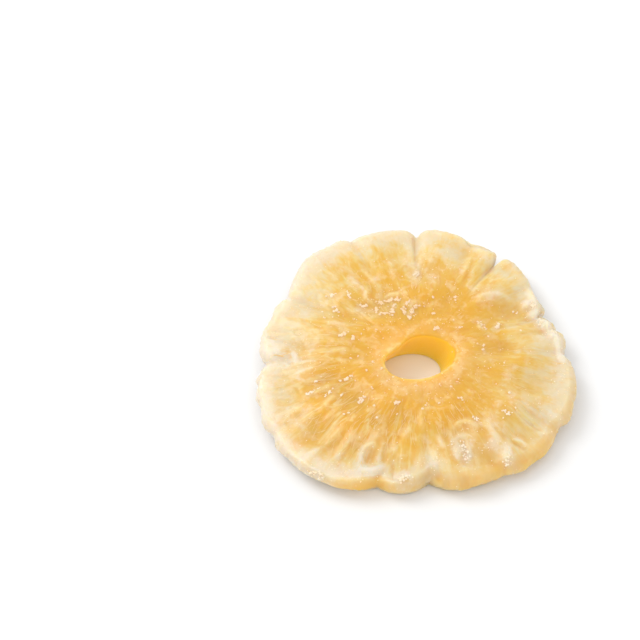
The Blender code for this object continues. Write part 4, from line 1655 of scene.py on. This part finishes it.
def turned_box(draw, middle, size):
    """Eight corners of a small box, turned at random."""
    corners = np.array([(i, j, k) for i in (-1, 1) for j in (-1, 1) for k in (-1, 1)]) * size
    turn = Quaternion(draw.normal(size=4)).normalized().to_matrix()
    return corners @ np.array(turn).T + middle


BOX_FACES = ((0, 1, 3, 2), (4, 6, 7, 5), (0, 4, 5, 1), (2, 3, 7, 6), (0, 2, 6, 4), (1, 5, 7, 3))
print("faces of a crystal:", len(BOX_FACES))


# %% The crystal material and the crystals
def crystal_material():
    """Pale sugar with sharp glints and a faint painted glow."""
    material, tree = new_material("sugar_crystal")
    place = object_place(tree)
    tint = rescale(tree, noise(tree, place, CRYSTAL_TINT_SCALE, 1.0), 0.4, 0.6, 0.0, 1.0)
    shade(
        tree,
        Base_Color=sugar_colour(tree, place, tint, CRYSTAL_INNER, CRYSTAL_OUTER),
        Roughness=0.15,
        Emission_Color=CRYSTAL_PAINTED_GLOW,
        Emission_Strength=1.0,
    )
    return material


def grow_crystals():
    """All the crystals as one piece."""
    draw = np.random.default_rng(CRYSTAL_SEED)
    boxes = []
    while len(boxes) < CRYSTALS:
        x, y = draw.uniform(-SHOWER_HALF, SHOWER_HALF, 2)
        if not crystal_wanted(x, y, draw):
            continue
        height = skin_height(x + shift[0], y + shift[1])
        if height is None or height < LOWEST_CRYSTAL or height > RING_TOP - CRYSTAL_HEADROOM:
            continue
        size = draw.uniform(*CRYSTAL_HALF) * draw.uniform(*CRYSTAL_UNLIKE, 3)
        middle = (x + shift[0], y + shift[1], height + 0.1 * size.min())
        boxes.append(turned_box(draw, middle, size))
    return add_piece("sugar_crystals", boxes, BOX_FACES, crystal_material(), smooth=False)


crystals = grow_crystals()
print("crystal faces:", len(crystals.data.polygons))

# %% [markdown]
# ## The set
#
# The ring lies on a plain white table under a large soft lamp from the upper left, with
# an even white sky as fill.

# %% Table, sky and lamp
TABLE_HALF = 2.5
TABLE_COLOUR = (0.88, 0.88, 0.88, 1.0)
SKY_STRENGTH = 1.0


def table_top():
    """A wide pale table under the ring."""
    mesh = bpy.data.meshes.new("table_top")
    corners = [(x * TABLE_HALF, y * TABLE_HALF, 0.0) for x, y in ((-1, -1), (1, -1), (1, 1), (-1, 1))]
    mesh.from_pydata(corners, [], [(0, 1, 2, 3)])
    material, tree = new_material("table_white")
    shade(tree, Base_Color=TABLE_COLOUR, Roughness=0.8)
    mesh.materials.append(material)
    table = add_object("table_top", mesh)


def lamp(name, place, size, watts, colour):
    """A square soft lamp that points at the ring."""
    data = bpy.data.lights.new(name, "AREA")
    data.size = size
    data.energy = watts
    data.color = colour
    holder = add_object(name, data)
    holder.location = place
    holder.rotation_euler = (-Vector(place)).to_track_quat("-Z", "Y").to_euler()


table_top()
world = bpy.data.worlds.new("white_sky")
world.use_nodes = True
world.node_tree.nodes["Background"].inputs["Color"].default_value = (1.0, 1.0, 1.0, 1.0)
world.node_tree.nodes["Background"].inputs["Strength"].default_value = SKY_STRENGTH
bpy.context.scene.world = world
lamp("key", (-0.55, 0.30, 0.60), 0.5, 3.0, (1.0, 1.0, 1.0))
bpy.context.scene.view_settings.view_transform = "Standard"

# %% [markdown]
# ## The camera
#
# The photograph looks down on the ring from the front at 52 degrees through a long lens.
# The aim is a little to the left of the ring and behind it, which puts the ring right of
# the middle and low in the picture, where the photograph has it.

# %% The camera
CAMERA_RISE = 52.0
CAMERA_LENS = 120.0
CAMERA_PLACE = (-25.059, -324.479, 436.259)

camera_data = bpy.data.cameras.new("camera")
camera_data.lens = CAMERA_LENS
camera_data.sensor_width = 36.0
camera = add_object("camera", camera_data)
camera.location = [(place + moved) * MM for place, moved in zip(CAMERA_PLACE, shift)]
camera.rotation_euler = (math.radians(90.0 - CAMERA_RISE), 0.0, 0.0)
bpy.context.scene.camera = camera
print("camera at:", [round(v, 3) for v in camera.location])
